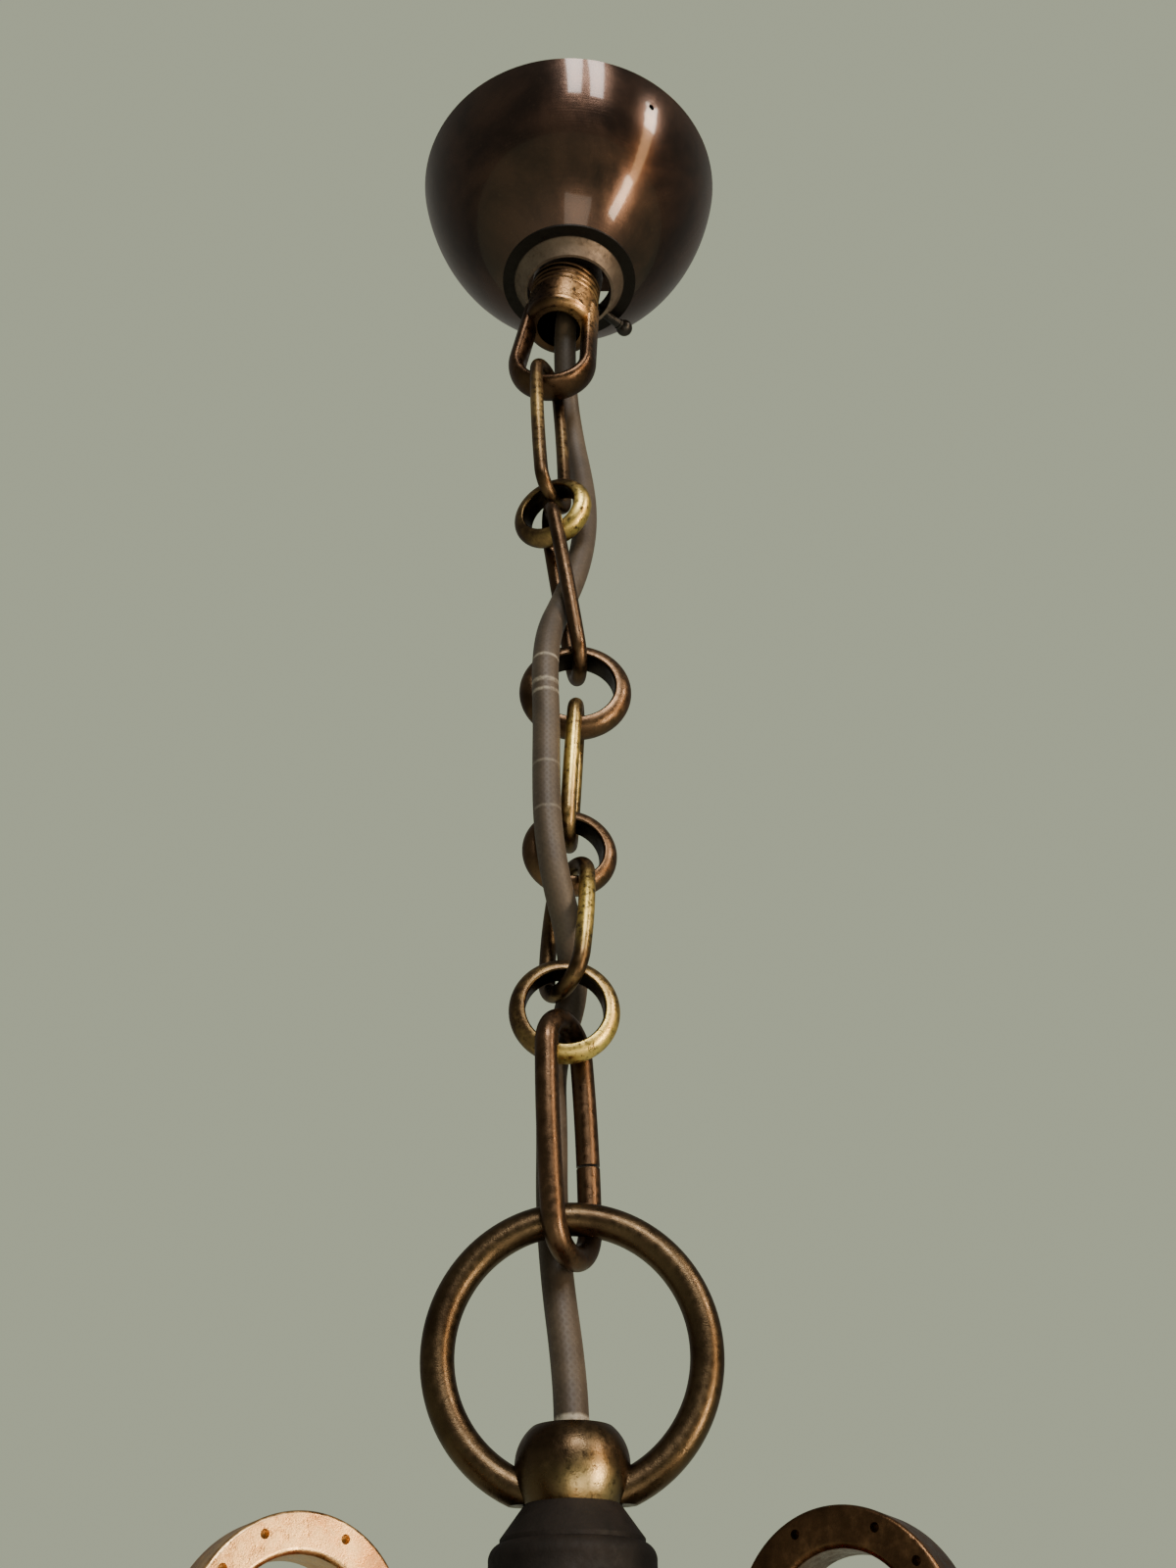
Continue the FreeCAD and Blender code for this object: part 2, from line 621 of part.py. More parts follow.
def top_ring(centre_z):
    """Big plain ring cast in one with the knuckle at its foot, bored for the flex and the central tube."""
    radius = (TOP_RING_OUTSIDE - TOP_RING_THICK) / 2
    hoop = Part.makeTorus(radius, TOP_RING_THICK / 2, V(0, 0, 0))
    hoop.rotate(V(0, 0, 0), V(1, 0, 0), 90)
    hoop.translate(V(0, 0, centre_z))
    low = knuckle_low(centre_z)
    top = low + KNUCKLE_HEIGHT
    hoop = hoop.cut(rod(TOP_RING_OUTSIDE, low - TOP_RING_OUTSIDE, low))
    belly = KNUCKLE_DIAMETER / 2
    knuckle = turned(
        (0, top),
        (KNUCKLE_CROWN / 2, top),
        ((belly - 0.9, top - KNUCKLE_HEIGHT * 0.21), (belly, top - KNUCKLE_HEIGHT / 2)),
        ((belly - 0.5, low + KNUCKLE_HEIGHT * 0.22), (KNUCKLE_FOOT / 2, low)),
        (0, low),
    )
    casting = hoop.fuse(knuckle)
    casting = casting.cut(rod(KNUCKLE_BORE, low - 1, top + 1))
    return casting.cut(rod(TUBE_DIAMETER + 2 * SEAM, low - 1, low + TUBE_ENGAGED)).removeSplitter()


def knuckle_low(centre_z):
    """Height of the knuckle's foot under the middle of the top ring."""
    return centre_z - TOP_RING_OUTSIDE / 2 + KNUCKLE_SINK


def crown_cap(top):
    """Stepped black cap: cone, crisp step, then a flared skirt over the hub."""
    step, waist, skirt = CAP_STEP / 2, CAP_WAIST / 2, CAP_SKIRT / 2
    wall = CAP_WALL
    return turned(
        (TUBE_DIAMETER / 2 + SEAM, top),
        (KNUCKLE_FOOT / 2, top),
        (step, top - CAP_CONE_HEIGHT),
        (step, top - CAP_CONE_HEIGHT - 0.8),
        ((waist - 0.6, top - CAP_CONE_HEIGHT - 1.8), (waist, top - CAP_WAIST_DROP)),
        ((waist + 1.8, top - CAP_WAIST_DROP - 5.4), (skirt - 1.0, top - CAP_HEIGHT + 3.0)),
        (skirt, top - CAP_HEIGHT + 2.4),
        (skirt, top - CAP_HEIGHT),
        (skirt - wall, top - CAP_HEIGHT),
        (skirt - wall, top - CAP_HEIGHT + 1.6),
        ((waist + 0.2, top - CAP_WAIST_DROP - 6.0), (waist - wall, top - CAP_WAIST_DROP)),
        (step - wall, top - CAP_CONE_HEIGHT - wall),
        (step - wall - CAP_SEAT, top - CAP_SEAT),
        (TUBE_DIAMETER / 2 + SEAM, top - CAP_SEAT),
    )


def hub(top):
    """Turned hub under the cap, slotted for the brackets' arms and drilled for their screws."""
    low = top - HUB_HEIGHT
    radius = HUB_DIAMETER / 2
    body = turned(
        (TUBE_DIAMETER / 2 + SEAM, top + HUB_SPIGOT),
        (HUB_SPIGOT_DIAMETER / 2, top + HUB_SPIGOT),
        (HUB_SPIGOT_DIAMETER / 2, top),
        (radius - 1.5, top),
        (radius, top - 1.5),
        (radius, low + 3.0),
        ((radius - 0.9, low + 0.9), (radius - 3.0, low)),
        (TUBE_DIAMETER / 2 + SEAM, low),
    )
    for azimuth in bracket_azimuths():
        slot = Part.makeBox(radius, ARM_WIDTH + 2 * SEAM, ARM_HEIGHT + 2 * SEAM)
        slot.translate(V(ARM_ROOT - SEAM, -ARM_WIDTH / 2 - SEAM, arm_low(top) - SEAM))
        body = body.cut(placed(slot, yaw=azimuth))
        hole = rod(BRACKET_SCREW + 2 * SEAM, low - 1, arm_low(top) + 1, (ARM_SCREW_REACH, 0))
        recess = rod(BRACKET_SCREW_HEAD + 1, low - 1, low + 2.6, (ARM_SCREW_REACH, 0))
        body = body.cut(placed(hole, yaw=azimuth)).cut(placed(recess, yaw=azimuth))
    return body


def arm_low(hub_top):
    """Underside of the arms, in the middle of the hub."""
    return hub_top - HUB_HEIGHT / 2 - ARM_HEIGHT / 2


def bracket_azimuths():
    """Directions of the brackets, equally spaced."""
    return [BRACKET_AZIMUTH + index * 360 / BRACKET_COUNT for index in range(BRACKET_COUNT)]


def bracket(middle_z, hub_top):
    """Cast bracket along +X: a square arm from the hub, an upright pierced roundel, and a flat foot."""
    half = ROUNDEL_WIDE / 2
    outer, inner = ROUNDEL_OUTSIDE / 2, ROUNDEL_HOLE / 2
    roundel = turned(
        (inner, -half + 1.0),
        ((inner + 0.3, -half + 0.3), (inner + 1.0, -half)),
        (outer - 0.8, -half),
        ((outer - 0.2, -half + 0.2), (outer, -half + 0.8)),
        (outer, half - 0.8),
        ((outer - 0.2, half - 0.2), (outer - 0.8, half)),
        (inner + 1.0, half),
        ((inner + 0.3, half - 0.3), (inner, half - 1.0)),
    )
    for side in (-1, 1):
        for index in range(ROUNDEL_PINS_A_SIDE):
            angle = 90 + side * (ROUNDEL_FIRST_PIN + index * ROUNDEL_PIN_STEP)
            at = around(angle, ROUNDEL_PIN_CIRCLE / 2)
            for face in (-half - 0.5, half - ROUNDEL_PIN_DEPTH):
                drill = rod(ROUNDEL_PIN, face, face + ROUNDEL_PIN_DEPTH + 0.5, (at.x, at.y))
                roundel = roundel.cut(drill)
    roundel.rotate(V(0, 0, 0), V(1, 0, 0), 90)
    roundel.translate(V(BRACKET_REACH, 0, middle_z))

    low = arm_low(hub_top)
    reach = BRACKET_REACH - (ROUNDEL_OUTSIDE + ROUNDEL_HOLE) / 4
    arm = Part.makeBox(reach - ARM_ROOT, ARM_WIDTH, ARM_HEIGHT, V(ARM_ROOT, -ARM_WIDTH / 2, low))
    long_edges = [e for e in arm.Edges if e.BoundBox.XLength > ARM_HEIGHT]
    arm = arm.makeFillet(1.2, long_edges)
    bore_from = V(BRACKET_REACH, -ROUNDEL_WIDE, middle_z)
    bore = Part.makeCylinder(inner + 0.5, ROUNDEL_WIDE * 2, bore_from, V(0, 1, 0))
    arm_hole = rod(BRACKET_SCREW, low - 1, low + ARM_HEIGHT - 2, (ARM_SCREW_REACH, 0))

    foot_low = gallery_top(middle_z) + SEAM
    foot = Part.makeBox(FOOT_LENGTH, ROUNDEL_WIDE, FOOT_HEIGHT)
    foot.translate(V(BRACKET_REACH - FOOT_LENGTH / 2, -half, foot_low))
    uprights = [e for e in foot.Edges if e.BoundBox.ZLength > FOOT_HEIGHT / 2]
    foot_hole = rod(BRACKET_SCREW, foot_low - 1, foot_low + FOOT_HEIGHT - 1, (BRACKET_REACH, 0))
    casting = roundel.fuse([arm.cut(bore), foot.makeFillet(2.0, uprights).cut(bore)])
    return casting.cut(arm_hole).cut(foot_hole).removeSplitter()


def gallery_top(middle_z):
    """Height of the gallery's flat top under the roundels."""
    return middle_z - ROUNDEL_OUTSIDE / 2 + FOOT_SINK - FOOT_HEIGHT


def gallery_ring(top):
    """Spun gallery: flat top with a round opening, and a beaded skirt round the glass's rim."""
    outer, opening, wall = GALLERY_OUTSIDE / 2, GALLERY_OPENING / 2, GALLERY_WALL
    low = top - GALLERY_HEIGHT
    bead = GALLERY_BEAD / 2
    body = turned(
        (opening, top),
        (outer - 3.0, top),
        ((outer - 0.9, top - 0.9), (outer, top - 3.0)),
        (outer, low + GALLERY_BEAD),
        ((outer + bead * 0.6, low + bead), (outer, low)),
        (outer - wall, low),
        (outer - wall, top - wall - 1.6),
        ((outer - wall - 0.5, top - wall - 0.5), (outer - wall - 1.6, top - wall)),
        (opening + wall, top - wall),
        (opening + wall, top - wall - 2.4),
        (opening, top - wall - 2.4),
    )
    for azimuth in bracket_azimuths():
        drill = rod(BRACKET_SCREW + 2 * SEAM, top - 10, top + 1, (BRACKET_REACH, 0))
        body = body.cut(placed(drill, yaw=azimuth))
        body = body.cut(placed(glass_screw_bar(GLASS_SCREW + 2 * SEAM, top), yaw=azimuth + 60))
    return body


def glass_screw_bar(diameter, top):
    """Round bar along +X where a glass screw goes through the gallery's skirt, under the glass's rim."""
    start = GALLERY_OUTSIDE / 2 - GLASS_SCREW_REACH
    z = glass_top(top) - GLASS_RIM_HEIGHT - GLASS_SCREW / 2 - 2 * SEAM
    return Part.makeCylinder(diameter / 2, GLASS_SCREW_REACH + 3, V(start, 0, z), V(1, 0, 0))


def glass_screw(top):
    """Ball-ended screw that carries the glass's rim: shank and a small domed head outside the skirt."""
    start = GALLERY_OUTSIDE / 2 - GLASS_SCREW_REACH
    face = GALLERY_OUTSIDE / 2 + SEAM
    z = glass_top(top) - GLASS_RIM_HEIGHT - GLASS_SCREW / 2 - 2 * SEAM
    shank = Part.makeCylinder(GLASS_SCREW / 2, face - start + 0.5, V(start, 0, z), V(1, 0, 0))
    head = pan_screw(GLASS_SCREW, GLASS_SCREW_HEAD, 2.4, 0.5)
    head.rotate(V(0, 0, 0), V(0, 1, 0), -90)
    head.translate(V(face - 0.5, 0, z))
    return shank.fuse(head).removeSplitter()


def glass_top(gallery_top_z):
    """Height of the glass's rim, just under the gallery's flat top."""
    return gallery_top_z - GALLERY_WALL - GLASS_RIM_DROP


def ruby_glass(top):
    """Blown ruby glass, open at the top, in three stacked bands: neck with rolled rim, belly and rounded foot."""
    rim, neck, belly, foot = GLASS_RIM / 2, GLASS_NECK / 2, GLASS_BELLY / 2, GLASS_FOOT / 2
    wall = GLASS_WALL
    low = top - GLASS_HEIGHT
    belly_z = top - GLASS_BELLY_DROP
    neck_z = top - GLASS_NECK_HEIGHT
    whole = turned(
        (neck - wall, top),
        (rim - 1.2, top),
        ((rim - 0.35, top - 0.35), (rim, top - 1.2)),
        (rim, top - GLASS_RIM_HEIGHT + 1.2),
        ((rim - 0.35, top - GLASS_RIM_HEIGHT + 0.35), (rim - 1.2, top - GLASS_RIM_HEIGHT)),
        (neck, top - GLASS_RIM_HEIGHT),
        (neck, neck_z),
        ((neck + (belly - neck) * 0.62, (neck_z + belly_z) / 2 + 2), (belly, belly_z)),
        ((belly * 0.86, (belly_z + low) / 2 - 4), (foot, low)),
        (0, low),
        (0, low + wall),
        (foot - 1, low + wall),
        ((belly * 0.86 - wall * 0.9, (belly_z + low) / 2 - 3), (belly - wall, belly_z)),
        ((neck + (belly - neck) * 0.62 - wall, (neck_z + belly_z) / 2 + 2), (neck - wall, neck_z)),
    )
    waist_z = belly_z - GLASS_BELLY_BAND
    for name, high, base in (("neck", top, belly_z), ("belly", belly_z, waist_z), ("foot", waist_z, low)):
        save(f"glass_{name}", whole.common(rod(2 * GLASS_BELLY, base, high)))


def lampholder_parts(tube_low):
    """Holder shell, insert with two contacts, shade ring, and a bulb with its cap, all on the lamp's axis."""
    top = tube_low + HOLDER_NECK_HEIGHT - 1.0
    shoulder = top - HOLDER_NECK_HEIGHT
    low = shoulder - HOLDER_HEIGHT
    outer, neck, wall = HOLDER_DIAMETER / 2, HOLDER_NECK / 2, HOLDER_WALL
    bore = TUBE_DIAMETER / 2 + SEAM
    save("holder_shell", turned(
        (bore, top),
        (neck - 1, top),
        (neck, top - 1),
        (neck, shoulder + 3.0),
        ((neck + 1.4, shoulder + 0.6), (outer - 1.5, shoulder - 1.0)),
        (outer, shoulder - 2.5),
        (outer, low),
        (outer - wall, low),
        (outer - wall, shoulder - 1.0 - wall),
        (bore, shoulder - 1.0 - wall),
    ))

    insert_top = shoulder - 1.0 - wall - SEAM
    insert_low = insert_top - INSERT_HEIGHT
    insert = rod(2 * (outer - wall - SEAM), insert_low, insert_top)
    insert = insert.cut(rod(FLEX_DIAMETER + 1, insert_top - 5, insert_top + 1))
    contacts = []
    for x in (-CONTACT_PITCH / 2, CONTACT_PITCH / 2):
        insert = insert.cut(rod(CONTACT_DIAMETER + 2 * SEAM, insert_low - 1, insert_low + 3, (x, 0)))
        contacts.append(rod(CONTACT_DIAMETER, insert_low - CONTACT_HEIGHT + 2, insert_low + 3, (x, 0)))
    save("holder_insert", insert)
    save("holder_contacts", *contacts)

    ring_top = low + 9
    save("shade_ring", turned(
        (outer + SEAM, ring_top),
        (SHADE_RING / 2 - 1, ring_top),
        (SHADE_RING / 2, ring_top - 1),
        (SHADE_RING / 2, ring_top - SHADE_RING_HEIGHT + 1),
        (SHADE_RING / 2 - 1, ring_top - SHADE_RING_HEIGHT),
        (outer + SEAM, ring_top - SHADE_RING_HEIGHT),
    ))

    cap_top = insert_low - CONTACT_HEIGHT + 2 - SEAM
    cap_low = cap_top - BULB_CAP_HEIGHT
    save("bulb_cap", turned(
        (0, cap_top),
        (BULB_CAP / 2 - 1.5, cap_top),
        (BULB_CAP / 2, cap_top - 1.5),
        (BULB_CAP / 2, cap_low),
        (0, cap_low),
    ))
    bulb = BULB_DIAMETER / 2
    tip = cap_low - BULB_LENGTH
    save("bulb_glass", turned(
        (0, cap_low - SEAM),
        (BULB_CAP / 2 - 0.5, cap_low - SEAM),
        ((bulb - 2.2, cap_low - BULB_LENGTH * 0.2), (bulb, cap_low - BULB_LENGTH * 0.42)),
        ((bulb * 0.6, cap_low - BULB_LENGTH * 0.78), (1.6, tip + 1.0)),
        (0.8, tip),
        (0, tip),
    ))


def lamp_parts(centre_z):
    """Everything from the big top ring down, which swings as one."""
    cap_top = knuckle_low(centre_z) - SEAM
    hub_top = cap_top - HUB_DROP
    middle_z = cap_top - ROUNDEL_DROP
    save("top_ring", top_ring(centre_z))
    save("crown_cap", crown_cap(cap_top))
    save("hub", hub(hub_top))

    tube_top = knuckle_low(centre_z) + TUBE_ENGAGED - SEAM
    tube_low = tube_top - TUBE_LENGTH
    save("central_tube", tube(TUBE_DIAMETER, TUBE_BORE, tube_low, tube_top))
    hub_low = hub_top - HUB_HEIGHT
    nut = hexagon(NUT_FLATS, hub_low - SEAM - NUT_HEIGHT, hub_low - SEAM)
    save("hub_nut", nut.cut(rod(TUBE_DIAMETER + 2 * SEAM, hub_low - 2 * NUT_HEIGHT, hub_low)))

    blank = bracket(middle_z, hub_top)
    gallery_z = gallery_top(middle_z)
    arm_screws = []
    foot_screws = []
    glass_screws = []
    for index, azimuth in enumerate(bracket_azimuths()):
        save(f"bracket_{index + 1}", placed(blank, yaw=azimuth))
        arm_end = arm_low(hub_top) + ARM_HEIGHT - 2 - SEAM
        arm_length = arm_end - (hub_low + 2.6)
        short = pan_screw(BRACKET_SCREW - 2 * SEAM, BRACKET_SCREW_HEAD, 2.2, arm_length)
        arm_screws.append(placed(placed(short, (ARM_SCREW_REACH, 0, arm_end)), yaw=azimuth))
        foot_end = gallery_z + FOOT_HEIGHT - 1
        foot_length = foot_end - gallery_z + GALLERY_WALL + SEAM
        long = pan_screw(BRACKET_SCREW - 2 * SEAM, BRACKET_SCREW_HEAD, 2.2, foot_length)
        foot_screws.append(placed(placed(long, (BRACKET_REACH, 0, foot_end)), yaw=azimuth))
        glass_screws.append(placed(glass_screw(gallery_z), yaw=azimuth + 60))
    save("arm_screws", *arm_screws)
    save("foot_screws", *foot_screws)
    save("gallery_ring", gallery_ring(gallery_z))
    save("glass_screws", *glass_screws)
    ruby_glass(glass_top(gallery_z))
    lampholder_parts(tube_low)
    tail_top = FLEX_ROUTE[-1][2] - SEAM
    save("flex_tail", rod(FLEX_DIAMETER, tube_low - 4, tail_top))


# ---------------------------------------------------------------- assembly

ceiling_parts()
terminal_parts()
canopy_parts()
flex, flex_path, flex_radii = swept(FLEX_ROUTE, FLEX_DIAMETER)
flex_way = swept(FLEX_ROUTE[:7], FLEX_DIAMETER + 2 * FLEX_CLEAR)[0]
save("flex", flex)
save("loop_fitting", loop_fitting(flex_way))

CHAIN = hang_chain()
for name, (_, _, shape) in CHAIN.items():
    save(name, shape)
lamp_top = CHAIN["link_5"][1]
RING_CENTRE = lamp_top.z - (TOP_RING_OUTSIDE - TOP_RING_THICK) / 2
lamp_parts(RING_CENTRE)

os.makedirs("parts", exist_ok=True)
for name, shape in PARTS.items():
    shape.exportStep(f"parts/{name}.step")
print("flex length", round(flex_path.Length, 1), "bend radii", [round(r) for r in flex_radii])
for name, (top, bottom, _) in CHAIN.items():
    print(name, "from", [round(c, 2) for c in top], "to", [round(c, 2) for c in bottom])
print("top ring's middle", round(RING_CENTRE, 2))
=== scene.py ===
import math

import bpy
from mathutils import Euler, Matrix, Vector


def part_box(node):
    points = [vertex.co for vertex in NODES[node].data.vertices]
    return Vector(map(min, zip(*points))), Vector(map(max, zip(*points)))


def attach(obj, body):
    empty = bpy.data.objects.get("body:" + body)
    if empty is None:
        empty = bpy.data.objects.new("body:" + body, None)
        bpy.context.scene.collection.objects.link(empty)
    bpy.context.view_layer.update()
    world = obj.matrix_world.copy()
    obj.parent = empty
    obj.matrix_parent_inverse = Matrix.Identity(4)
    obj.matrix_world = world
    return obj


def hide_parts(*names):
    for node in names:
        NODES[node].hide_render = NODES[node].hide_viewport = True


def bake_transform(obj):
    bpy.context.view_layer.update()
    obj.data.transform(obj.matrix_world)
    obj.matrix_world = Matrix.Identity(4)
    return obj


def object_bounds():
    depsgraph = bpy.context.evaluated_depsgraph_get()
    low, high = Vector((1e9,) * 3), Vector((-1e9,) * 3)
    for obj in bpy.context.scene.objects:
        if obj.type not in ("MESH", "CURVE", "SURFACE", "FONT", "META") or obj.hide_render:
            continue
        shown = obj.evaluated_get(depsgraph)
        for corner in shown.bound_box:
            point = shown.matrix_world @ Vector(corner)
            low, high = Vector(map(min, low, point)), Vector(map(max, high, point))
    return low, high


# Hanging sanctuary lamp. Metres, +Z up, -Y towards the viewer.
# The origin is on the ceiling at the canopy's middle.

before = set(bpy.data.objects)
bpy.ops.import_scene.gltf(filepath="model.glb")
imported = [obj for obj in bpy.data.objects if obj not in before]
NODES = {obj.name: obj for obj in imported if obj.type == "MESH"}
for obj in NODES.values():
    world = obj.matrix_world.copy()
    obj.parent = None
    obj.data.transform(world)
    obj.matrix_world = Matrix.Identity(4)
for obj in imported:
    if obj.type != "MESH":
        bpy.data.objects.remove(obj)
CAD_BOX = [list(corner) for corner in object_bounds()]
MM = 0.001
FULL_TURN = 2 * math.pi


# ---------------------------------------------------------------- object helpers

def middle(node):
    low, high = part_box(node)
    return (low + high) / 2


def link_object(name, mesh, material):
    """Adds a mesh to the scene with one material on it."""
    mesh.materials.append(material)
    piece = bpy.data.objects.new(name, mesh)
    bpy.context.scene.collection.objects.link(piece)
    return piece


# ---------------------------------------------------------------- shader helpers

class Shader:
    """A material's node tree with short ways to add and join nodes."""

    def __init__(self, name):
        self.material = bpy.data.materials.new(name)
        self.material.use_nodes = True
        self.tree = self.material.node_tree
        self.bsdf = self.tree.nodes["Principled BSDF"]
        self.place = self.add("ShaderNodeTexCoord").outputs["Object"]

    def add(self, kind, **values):
        node = self.tree.nodes.new(kind)
        for key, value in values.items():
            setattr(node, key, value)
        return node

    def join(self, source, target):
        self.tree.links.new(source, target)

    def set(self, **values):
        for key, value in values.items():
            self.bsdf.inputs[key.replace("_", " ")].default_value = value

    def noise(self, scale, detail=4.0, rough=0.55, stretch=None, distort=0.0):
        """Fractal noise over the object, about 1 / scale metres to a feature.

        A stretch scales the object's own x, y and z before the noise is read.
        """
        node = self.add("ShaderNodeTexNoise")
        node.inputs["Scale"].default_value = scale
        node.inputs["Detail"].default_value = detail
        node.inputs["Roughness"].default_value = rough
        node.inputs["Distortion"].default_value = distort
        self.join(self.stretched(stretch), node.inputs["Vector"])
        return node.outputs["Fac"]

    def stretched(self, stretch):
        if stretch is None:
            return self.place
        node = self.add("ShaderNodeMapping")
        node.inputs["Scale"].default_value = stretch
        self.join(self.place, node.inputs["Vector"])
        return node.outputs["Vector"]

    def spread(self, value, low, high, to_low=0.0, to_high=1.0):
        """Maps low..high smoothly to to_low..to_high."""
        node = self.add("ShaderNodeMapRange", interpolation_type="SMOOTHSTEP")
        self.join(value, node.inputs["Value"])
        node.inputs["From Min"].default_value = low
        node.inputs["From Max"].default_value = high
        node.inputs["To Min"].default_value = to_low
        node.inputs["To Max"].default_value = to_high
        return node.outputs["Result"]

    def math(self, operation, a, b):
        """One sum. Each of a and b is a number or a socket."""
        node = self.add("ShaderNodeMath", operation=operation)
        for socket, value in zip(node.inputs, (a, b)):
            if isinstance(value, (int, float)):
                socket.default_value = value
            else:
                self.join(value, socket)
        return node.outputs[0]

    def mix(self, share, a, b):
        """Mixes two colours by a socket. Each is a colour or a socket."""
        node = self.add("ShaderNodeMix", data_type="RGBA")
        self.join(share, node.inputs[0])
        for socket, value in zip((node.inputs[6], node.inputs[7]), (a, b)):
            if isinstance(value, tuple):
                socket.default_value = (*value, 1.0)
            else:
                self.join(value, socket)
        return node.outputs[2]

    def near(self, point, radius):
        """1 at a point of the object, falling to 0 at a radius from it."""
        gap = self.add("ShaderNodeVectorMath", operation="DISTANCE")
        self.join(self.place, gap.inputs[0])
        gap.inputs[1].default_value = point
        return self.spread(gap.outputs["Value"], 0.0, radius, 1.0, 0.0)

    def within(self, point, radius, edge=0.0004, flat=False):
        """1 within a radius of a point, or of the upright line through it when flat."""
        gap = self.add("ShaderNodeVectorMath", operation="SUBTRACT")
        self.join(self.place, gap.inputs[0])
        gap.inputs[1].default_value = point
        size = self.add("ShaderNodeVectorMath", operation="MULTIPLY")
        self.join(gap.outputs["Vector"], size.inputs[0])
        size.inputs[1].default_value = (1.0, 1.0, 0.0 if flat else 1.0)
        length = self.add("ShaderNodeVectorMath", operation="LENGTH")
        self.join(size.outputs["Vector"], length.inputs[0])
        return self.spread(length.outputs["Value"], radius - edge, radius + edge, 1.0, 0.0)

    def height(self):
        """The object's own height at each place."""
        parts = self.add("ShaderNodeSeparateXYZ")
        self.join(self.place, parts.inputs[0])
        return parts.outputs[2]

    def bump(self, height, distance, strength=1.0):
        node = self.add("ShaderNodeBump")
        node.inputs["Distance"].default_value = distance
        node.inputs["Strength"].default_value = strength
        self.join(height, node.inputs["Height"])
        self.join(node.outputs["Normal"], self.bsdf.inputs["Normal"])


# ---------------------------------------------------------------- metals

# Radii between which the collar's cone shows bare, and how softly the two edges end. Outside them the
# collar is black painted shade.
COLLAR_SHOULDER = 0.0178
COLLAR_SHOULDER_EDGE = 0.0003
COLLAR_BORE = 0.0137
COLLAR_BORE_EDGE = 0.0002

# The loop's eye gets black painted shade: a radius about an upright line, above a height.
EYE_PLACE = (-0.0030, 0.0, -0.066)
EYE_RADIUS = 0.0073
EYE_LOWEST = -0.0708
# Lower than the whole lamp, so that every height is above it.
ANY_HEIGHT = -1.0
HEIGHT_EDGE = 0.0002

# Near-black painted shade for hollows that stand in shade, and how much of it covers the colour.
SHADE_BLACK = (0.004, 0.003, 0.002)
SHADE_BLACK_SHARE = 0.88
DARK = (0.030, 0.017, 0.010)
BRONZE = (0.112, 0.070, 0.035)
COPPER = (0.240, 0.135, 0.072)
GOLD = (0.400, 0.275, 0.105)
YELLOW = (0.800, 0.600, 0.170)
CANOPY_BROWN = (0.034, 0.019, 0.013)
CANOPY_RED_BROWN = (0.082, 0.043, 0.027)
CANOPY_DUST = (0.16, 0.10, 0.06)
CONE_BROWN = (0.120, 0.090, 0.068)
CONE_GREY = (0.200, 0.155, 0.120)
CONE_SPECKS = (0.060, 0.042, 0.030)
# Black painted shade on the collar's shoulder and in its bore.
COLLAR_SHADE_BLACK = (0.010, 0.008, 0.006)
ZINC = (0.42, 0.41, 0.39)
RUST = (0.16, 0.10, 0.06)


def metal(name, body=BRONZE, stain=DARK, worn=GOLD, worn_share=0.5, rough=(0.26, 0.44),
          painted_highlight=None, spots=0.0, painted_shade=None):
    """Aged lacquered brass: brown lacquer, dark stains, and bare metal where it's worn.

    The highlight argument is (point, radius, colour): about the point the colour turns to that tint, a
    painted highlight.
    The shade argument is (point, radius, flat, lowest): inside that radius and above that height it is
    black, painted shade.
    """
    s = Shader(name)
    patches = s.noise(70.0, detail=4.0, rough=0.55, distort=0.5)
    grain = s.noise(620.0, detail=4.0, rough=0.6)
    fine = s.noise(3200.0, detail=2.0, rough=0.5)
    colour = s.mix(s.spread(patches, 0.30, 0.56, 0.35, 1.0), stain, body)
    rub = s.math("ADD", s.math("MULTIPLY", patches, 0.7), s.math("MULTIPLY", grain, 0.3))
    rubbed_share = s.spread(rub, 0.62 - 0.22 * worn_share, 0.84 - 0.14 * worn_share)
    colour = s.mix(s.math("MULTIPLY", rubbed_share, worn_share), colour, worn)
    # Painted highlight: the colour turns to a lighter tint about a point.
    if painted_highlight:
        point, radius, tint = painted_highlight
        here = s.near(point, radius)
        broken = s.math("MULTIPLY", here, s.spread(grain, 0.26, 0.50))
        colour = s.mix(broken, colour, tint)
    pits = s.spread(s.noise(1500.0, detail=2.0, rough=0.5), 0.62, 0.70)
    colour = s.mix(s.math("MULTIPLY", pits, 0.22 + spots), colour, stain)
    # Painted shade: black inside a radius and above a height.
    if painted_shade:
        point, radius, flat, lowest = painted_shade
        above = s.spread(s.height(), lowest - HEIGHT_EDGE, lowest + HEIGHT_EDGE)
        inside = s.math("MULTIPLY", s.within(point, radius, flat=flat), above)
        colour = s.mix(s.math("MULTIPLY", inside, SHADE_BLACK_SHARE), colour, SHADE_BLACK)
    s.join(colour, s.bsdf.inputs["Base Color"])
    s.join(s.spread(grain, 0.30, 0.70, *rough), s.bsdf.inputs["Roughness"])
    s.set(Metallic=1.0)
    relief = s.math("ADD", s.math("MULTIPLY", grain, 0.6), s.math("MULTIPLY", fine, 0.4))
    s.bump(relief, distance=0.00016, strength=0.5)
    return s.material


